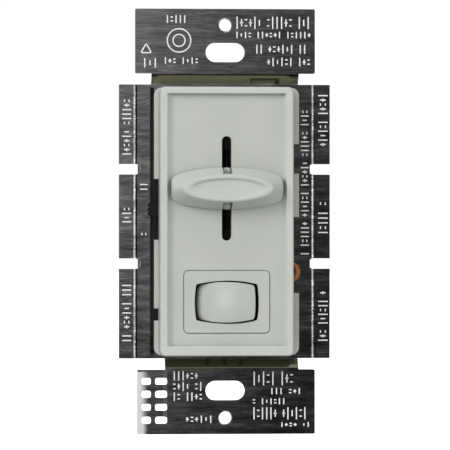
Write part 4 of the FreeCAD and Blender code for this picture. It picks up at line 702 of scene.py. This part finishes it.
ROCKER_RIM_DEPTH = 1.0  # the rim lies at least this far in front of the pivot
ROCKER_LEG = ((1.9, -5.2), (1.9, 2.9), (1.25, 2.9), (1.25, -2.9), (0.0, -2.9))  # radius and Y
ROCKER_LEG_STEPS = 40
ROCKER_PIN = (0.75, 6.36)  # radius and half length
ROCKER_PIN_STEPS = 24
ROCKER_PIN_ENDS = (0.8, 0.15)  # each end's size against the middle, and the length of its slope
ROCKER_SHARP = math.radians(30)
TURNED_SHARP = math.radians(40)


def rocker_front(x):
    """Y of the rocker's front in its middle position."""
    crown, sag = ROCKER_CROWN
    if abs(x) <= crown:
        return ROCKER_TOP + sag * (x / crown) ** 2
    return ROCKER_TOP + sag + (abs(x) - crown) * ROCKER_SLOPE


def rocker_edge():
    """The cap's outline as (x, z) about the pivot: upper edge, right side, lower edge, left side."""
    wide, tall = ROCKER_HALF
    corner = wide - ROCKER_SIDE_BOW
    bow = tall - ROCKER_CORNER_HEIGHT
    top = [(corner * s, tall - bow * s * s) for s in ROCKER_ACROSS]
    right = [(corner + ROCKER_SIDE_BOW * (1 - s * s), ROCKER_CORNER_HEIGHT * s) for s in ROCKER_DOWN]
    bottom = [(x, -z) for x, z in reversed(top)]
    left = [(-x, -z) for x, z in right]
    return top + right + bottom + left


def rocker_loops(shape):
    """The outline at each depth, with its ends at the same distance from the pivot."""
    loops = []
    for depth in ROCKER_DEPTHS:
        loop = []
        for x, z in rocker_edge():
            front = rocker_front(x)
            y = front + (ROCKER_FOOT - front) * depth
            lever = y - PIVOT[0]
            reach = math.sqrt(ROCKER_HALF[0] ** 2 - min(lever, 0) ** 2) / ROCKER_HALF[0]
            loop.append(shape.verts.new(mm(x * reach, y, PIVOT[1] + z)))
        loops.append(loop)
    return loops


def rocker_faces(shape, loops):
    """The flanks, the foot, and a front of three facets, the middle one in strips."""
    front = loops[0]
    count = len(front)
    for above, below in zip(loops, loops[1:]):
        for index in range(count):
            after = (index + 1) % count
            shape.faces.new((above[index], above[after], below[after], below[index]))
    shape.faces.new(loops[-1])
    across = len(ROCKER_ACROSS)
    twins = 2 * across + len(ROCKER_DOWN) - 1  # what an upper point's index and the one below it add up to
    first, last = ROCKER_FACET, across - 1 - ROCKER_FACET
    for here in range(first, last):
        after = here + 1
        shape.faces.new((front[here], front[after], front[twins - after], front[twins - here]))
    shape.faces.new([front[index] for index in range(last, twins - last + 1)])
    shape.faces.new([front[index % count] for index in range(twins - first, count + first + 1)])
    bmesh.ops.recalc_face_normals(shape, faces=shape.faces)


def at_corner(vertex):
    """Whether a point of the cap lies on one of its four corners."""
    off_corner = abs(abs(vertex.co.z / MM - PIVOT[1]) - ROCKER_CORNER_HEIGHT)
    return off_corner < NEAR and abs(vertex.co.x) / MM > ROCKER_OUTER


def rocker_uprights(shape):
    """The edges that run back from the cap's four corners."""
    found = []
    for edge in shape.edges:
        one, other = edge.verts
        if at_corner(one) and at_corner(other) and abs(one.co.y - other.co.y) > ROCKER_DROP * MM:
            found.append(edge)
    return found


def rocker_rim(shape):
    """The edges round the cap's front."""
    found = []
    for edge in shape.edges:
        rear = max(vertex.co.y for vertex in edge.verts) / MM
        if rear < PIVOT[0] - ROCKER_RIM_DEPTH and len(edge.link_faces) == 2:
            if edge.calc_face_angle() > ROCKER_RIM_TURN:
                found.append(edge)
    return found


def soften(shape, edges, size, steps):
    """Rounds edges by a size in millimetres."""
    bmesh.ops.bevel(shape, geom=edges, offset=size * MM, segments=steps, profile=0.5, affect="EDGES")


def tilt(vertices):
    """Turns points about the pivot, from the rocker's middle position to its place at rest."""
    cosine, sine = math.cos(ROCKER_REST), math.sin(ROCKER_REST)
    for vertex in vertices:
        x, y = vertex.co.x / MM, vertex.co.y / MM - PIVOT[0]
        vertex.co.x = (x * cosine - y * sine) * MM
        vertex.co.y = (x * sine + y * cosine + PIVOT[0]) * MM


def rocker_cap():
    """The rocker's cap: three facets, soft edges, and sides that keep their distance from the pivot."""
    shape = bmesh.new()
    rocker_faces(shape, rocker_loops(shape))
    soften(shape, rocker_uprights(shape), *ROCKER_SOFT[0])
    shape.normal_update()
    soften(shape, rocker_rim(shape), *ROCKER_SOFT[1])
    tilt(shape.verts)
    bmesh.ops.recalc_face_normals(shape, faces=shape.faces)
    mesh = bpy.data.meshes.new("rocker_cap")
    made = finished("rocker_cap", mesh, shape, rocker_plastic, "rocker")
    mesh.set_sharp_from_angle(angle=ROCKER_SHARP)
    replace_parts(made, "rocker")


def rocker_leg():
    """The leg behind the cap, with the bore that the sprung plunger slides in."""
    points = []
    for radius, y in ROCKER_LEG:
        for angle in full_turn(ROCKER_LEG_STEPS):
            points.append((radius * math.cos(angle), y, PIVOT[1] + radius * math.sin(angle)))
    faces = ring_faces(len(ROCKER_LEG), ROCKER_LEG_STEPS)
    faces.append(tuple(range(ROCKER_LEG_STEPS)))
    leg = piece("rocker_leg", points, faces, rocker_plastic, "rocker")
    leg.data.set_sharp_from_angle(angle=TURNED_SHARP)
    tilt(leg.data.vertices)


def rocker_pin():
    """The pin that the rocker tilts on, with sloping ends."""
    radius, reach = ROCKER_PIN
    scale, slope = ROCKER_PIN_ENDS
    sections = ((-reach, scale), (-reach + slope, 1), (reach - slope, 1), (reach, scale))
    points = []
    for z, size in sections:
        for angle in full_turn(ROCKER_PIN_STEPS):
            x, y = radius * size * math.cos(angle), radius * size * math.sin(angle)
            points.append((x, PIVOT[0] + y, PIVOT[1] + z))
    faces = ring_faces(len(sections), ROCKER_PIN_STEPS) + end_faces(len(sections), ROCKER_PIN_STEPS)
    pin = piece("rocker_pin", points, faces, rocker_plastic, "rocker")
    pin.data.set_sharp_from_angle(angle=TURNED_SHARP)


rocker_cap()
rocker_leg()
rocker_pin()


# ---------------------------------------------------------------- stamped strokes on the yoke
stamp_ink = moulded("stamp_paint", (0.86, 0.86, 0.85, 1.0), 0.5, grain=0.2, relief=0.004)
STROKE_RISE = 0.03  # how far a stroke stands over the sheet
STROKE_WIDTH = 0.3
STROKE_TOP = 0.55  # a stroke's top against its foot
STROKE_PITCH = 1.05
LOW_ROW = 1.2  # a row no higher than this has narrower cells
LOW_PITCH = STROKE_PITCH * 0.8
MARK_STEP = 3  # how far on in MARKS the next cell looks
SHORT_ROW = 3  # in a row of more cells than this, one cell in GAP_EVERY stays empty
GAP_EVERY = 7
RING_MIDDLE = (-11.4, 44.6)
RINGS = ((2.9, 28), (1.5, 20))  # radius and sides
TRIANGLE = ((-19.5, 42.3), 1.5)  # middle and radius
FEW_SIDES = 6
SIDE_GAP = 0.02  # how far the sides of an outline stop short of its corners
CORNER_GAP = 0.16  # the same for an outline with few sides
# a row is its start and end across, and its lower and upper edge, in X and Z
EAR_ROWS = [
    (2.4, 21.1, 47.5, 50.5),
    (2.4, 21.3, 45.2, 46.8),
    (7.3, 20.2, 41.4, 43.6),
    (9.1, 21.2, 38.3, 40.4),
    (-14.8, -8.4, 48.9, 50.8),
    (-15.3, -6.5, 38.8, 40.4),
    (-20.5, -16.6, 37.9, 40.2),
    (-13.1, -5.5, -39.1, -36.9),
    (-13.1, -5.5, -41.7, -39.5),
    (-13.1, -5.5, -44.2, -42.1),
    (-11.1, -3.0, -49.6, -47.8),
    (6.6, 17.0, -40.4, -37.0),
    (11.0, 18.9, -42.6, -41.1),
    (6.6, 15.0, -45.1, -43.6),
    (6.6, 21.3, -48.8, -45.8),
    (13.5, 21.1, -50.7, -49.5),
]
# a column is its start and end up the fin, and its left and right edge, in Z and X
FIN_COLUMNS = [
    (16.1, 31.4, -25.3, -23.1),
    (-0.6, 3.6, -25.3, -23.1),
    (-29.9, -15.2, -25.3, -23.1),
    (17.4, 31.7, 23.2, 25.6),
    (-3.3, 5.0, 23.2, 25.6),
    (-29.9, -17.1, 23.2, 25.6),
    (-8.5, 27.7, 18.9, 20.9),
    (7.4, 9.7, -20.9, -19.0),
    (-3.6, -2.6, -20.9, -19.0),
]
# marks of a row, taken in turn: each is its lines, across and up in shares of its cell
BAR = [((0.5, 0.0), (0.5, 1.0))]
SHORT_BAR = [((0.5, 0.25), (0.5, 0.75))]
TWIN_DASH = [((0.22, 0.25), (0.78, 0.25)), ((0.22, 0.75), (0.78, 0.75))]
CROSS = [((0.5, 0.2), (0.5, 0.42)), ((0.5, 0.58), (0.5, 0.8)), ((0.15, 0.5), (0.85, 0.5))]
MARKS = (BAR, TWIN_DASH, BAR, CROSS, BAR, SHORT_BAR, TWIN_DASH, BAR, BAR, CROSS)


def stroke_points(a, b, width):
    """The four corners of a stroke from a to b, both in the sheet's plane."""
    along = Vector((b[0] - a[0], b[1] - a[1])).normalized()
    side = Vector((-along.y, along.x)) * width / 2
    a, b = Vector(a), Vector(b)
    return [a + side, b + side, b - side, a - side]


def strokes(name, lines, front):
    """Low bars with sloping sides, one mesh for a whole group of lines in the sheet's plane."""
    points, faces = [], []
    for a, b in lines:
        base = len(points)
        for width, y in ((STROKE_WIDTH, front), (STROKE_WIDTH * STROKE_TOP, front - STROKE_RISE)):
            points += [(corner.x, y, corner.y) for corner in stroke_points(a, b, width)]
        faces.append((base + 4, base + 5, base + 6, base + 7))
        faces.append((base + 3, base + 2, base + 1, base))
        for index in range(4):
            after = (index + 1) % 4
            faces.append((base + index, base + after, base + 4 + after, base + 4 + index))
    return piece(name, points, faces, stamp_ink, "dimmer", smooth=False)


def row_lines(start, end, low, high, phase, upright):
    """The strokes of one row; phase says which mark it starts on, and upright runs it along Z."""
    lines = []
    pitch = STROKE_PITCH if high - low > LOW_ROW else LOW_PITCH
    cells = max(1, int((end - start) / pitch))
    wide = (end - start) / cells
    tall = high - low
    for index in range(cells):
        if cells > SHORT_ROW and (index + phase) % GAP_EVERY == GAP_EVERY - 1:
            continue
        for a, b in MARKS[(index * MARK_STEP + phase) % len(MARKS)]:
            ends = [(start + (index + across) * wide, low + up * tall) for across, up in (a, b)]
            lines.append([(z, x) for x, z in ends] if upright else ends)
    return lines


def polygon_lines(middle, radius, sides, turn=0.0):
    """The sides of a regular outline, each pulled in a little so that its strokes don't overlap."""
    corners = []
    for step in full_turn(sides):
        angle = math.radians(turn) + step
        corners.append(Vector((middle[0] + radius * math.cos(angle), middle[1] + radius * math.sin(angle))))
    gap = SIDE_GAP if sides > FEW_SIDES else CORNER_GAP
    lines = []
    for index, corner in enumerate(corners):
        after = corners[(index + 1) % sides]
        step = (after - corner).normalized() * gap
        lines.append((tuple(corner + step), tuple(after - step)))
    return lines


def all_rows(rows, upright):
    """The strokes of every row, each row two marks further on than the one before."""
    return [line for index, row in enumerate(rows) for line in row_lines(*row, index * 2, upright)]


ear_lines = all_rows(EAR_ROWS, upright=False)
for radius, sides in RINGS:
    ear_lines += polygon_lines(RING_MIDDLE, radius, sides)
ear_lines += polygon_lines(*TRIANGLE, 3, turn=90)
fin_lines = all_rows(FIN_COLUMNS, upright=True)
strokes("ear_strokes", ear_lines, EAR_FRONT)
strokes("fin_strokes", fin_lines, PLATE_FRONT)


# ---------------------------------------------------------------- floor, light and camera
FLOOR_HALF = 3.0  # metres
FLOOR_GREY = (0.92, 0.92, 0.92, 1.0)
FLOOR_GLOW = 0.97
LIGHT_MIDDLE = 0.55  # the studio's level straight ahead, and how it changes upward and to the right
LIGHT_UP = 1.63
LIGHT_RIGHT = -3.99
LIGHT_MOST = 0.8
LEFT_FALL = 1.7  # far to the left it falls again from this level
LEFT_LEVEL = 1.4
AROUND_RISE = 0.7  # its least level rises from the front to the back, within a range
AROUND_LEVEL = 0.75
AROUND_RANGE = (0.12, 0.42)
LEVEL_POWER = 2.2
BACKDROP = 1.05
# each light's name, place, width and power, in metres and watts
LIGHTS = (
    ("key", (-0.75, -0.6, 0.45), 0.5, 6.7),
    ("top", (0.0, -0.6, 0.85), 0.8, 2.2),
    ("fill", (0.85, -0.6, 0.1), 0.9, 4.9),
    ("low_fill", (-0.15, -0.65, -0.65), 0.8, 3.4),
    ("sheen", (-0.165, -0.94, 0.0), 0.16, 0.3),
    ("back", (0.3, 1.0, 0.9), 0.8, 8.0),
)
MIRRORED = "sheen"  # the one light that bare metal shows


def make_floor():
    """A white floor at the object's lowest point, which neither lights it nor shows in it."""
    mesh = bpy.data.meshes.new("floor")
    low = cad_box[0][2]
    corners = [(x * FLOOR_HALF, y * FLOOR_HALF, low) for x, y in ((-1, -1), (1, -1), (1, 1), (-1, 1))]
    mesh.from_pydata(corners, [], [(0, 1, 2, 3)])
    finish = Finish("floor_paint", FLOOR_GREY, 0.9)
    finish.tint(finish.ramp(finish.noise(60.0), (0.3, 0.9), (0.7, 0.94)))
    finish.set("Emission Color", WHITE)
    finish.set("Emission Strength", FLOOR_GLOW)
    mesh.materials.append(finish.material)
    made = bpy.data.objects.new("floor", mesh)
    bpy.context.scene.collection.objects.link(made)
    made.visible_glossy = False
    made.visible_diffuse = False


def studio_world():
    """White behind the object, and around it a studio bright at the upper left and dim at the right."""
    world = bpy.data.worlds.new("studio")
    bpy.context.scene.world = world
    world.use_nodes = True
    nodes, links = world.node_tree.nodes, world.node_tree.links
    nodes.clear()

    def add(kind, **settings):
        """A new node with these settings."""
        node = nodes.new(kind)
        for key, value in settings.items():
            setattr(node, key, value)
        return node

    def feed(node, *values):
        """Fills a node's first inputs with numbers or other nodes' outputs, and gives its own output."""
        for index, value in enumerate(values):
            if isinstance(value, (int, float)):
                node.inputs[index].default_value = value
            else:
                links.new(value, node.inputs[index])
        return node.outputs[0]

    def level(operation, *values):
        """The result of one step of arithmetic on brightness levels."""
        return feed(add("ShaderNodeMath", operation=operation), *values)

    split = add("ShaderNodeSeparateXYZ")
    feed(split, add("ShaderNodeTexCoord").outputs["Generated"])
    across, depth, up = split.outputs
    slanted = level("ADD", level("MULTIPLY", up, LIGHT_UP), level("MULTIPLY", across, LIGHT_RIGHT))
    held = level("MINIMUM", level("ADD", slanted, LIGHT_MIDDLE), LIGHT_MOST)
    capped = level("MINIMUM", held, level("MULTIPLY_ADD", across, LEFT_FALL, LEFT_LEVEL))
    around = level("MULTIPLY_ADD", depth, AROUND_RISE, AROUND_LEVEL)
    least = feed(add("ShaderNodeClamp"), around, *AROUND_RANGE)
    bright = level("POWER", level("MAXIMUM", capped, least), LEVEL_POWER)
    studio = feed(add("ShaderNodeBackground"), bright)
    white = add("ShaderNodeBackground")
    white.inputs["Color"].default_value = WHITE
    white.inputs["Strength"].default_value = BACKDROP
    seen = add("ShaderNodeLightPath").outputs["Is Camera Ray"]
    mix = feed(add("ShaderNodeMixShader"), seen, studio, white.outputs[0])
    links.new(mix, add("ShaderNodeOutputWorld").inputs["Surface"])


def area_light(name, place, size, power):
    """A square light that faces the origin."""
    data = bpy.data.lights.new(name, "AREA")
    data.shape = "SQUARE"
    data.size = size
    data.energy = power
    made = bpy.data.objects.new(name, data)
    made.visible_glossy = name == MIRRORED
    made.location = place
    made.rotation_euler = (-Vector(place)).to_track_quat("-Z", "Y").to_euler()
    bpy.context.scene.collection.objects.link(made)


def make_camera():
    """A long lens in front of the object, turned a little to the left."""
    aim = mm(*CAMERA_AIM)
    turn = math.radians(CAMERA_TURN)
    data = bpy.data.cameras.new("camera")
    data.sensor_width = SENSOR
    data.lens = SENSOR * CAMERA_DISTANCE / (VIEW_WIDTH * MM)
    data.clip_start, data.clip_end = CAMERA_CLIP
    camera = bpy.data.objects.new("camera", data)
    camera.location = aim + CAMERA_DISTANCE * Vector((math.sin(turn), -math.cos(turn), 0.0))
    camera.rotation_euler = (aim - camera.location).to_track_quat("-Z", "Y").to_euler()
    bpy.context.scene.collection.objects.link(camera)
    bpy.context.scene.camera = camera


make_floor()
studio_world()
for light in LIGHTS:
    area_light(*light)
make_camera()
bpy.context.scene.view_settings.view_transform = "Standard"
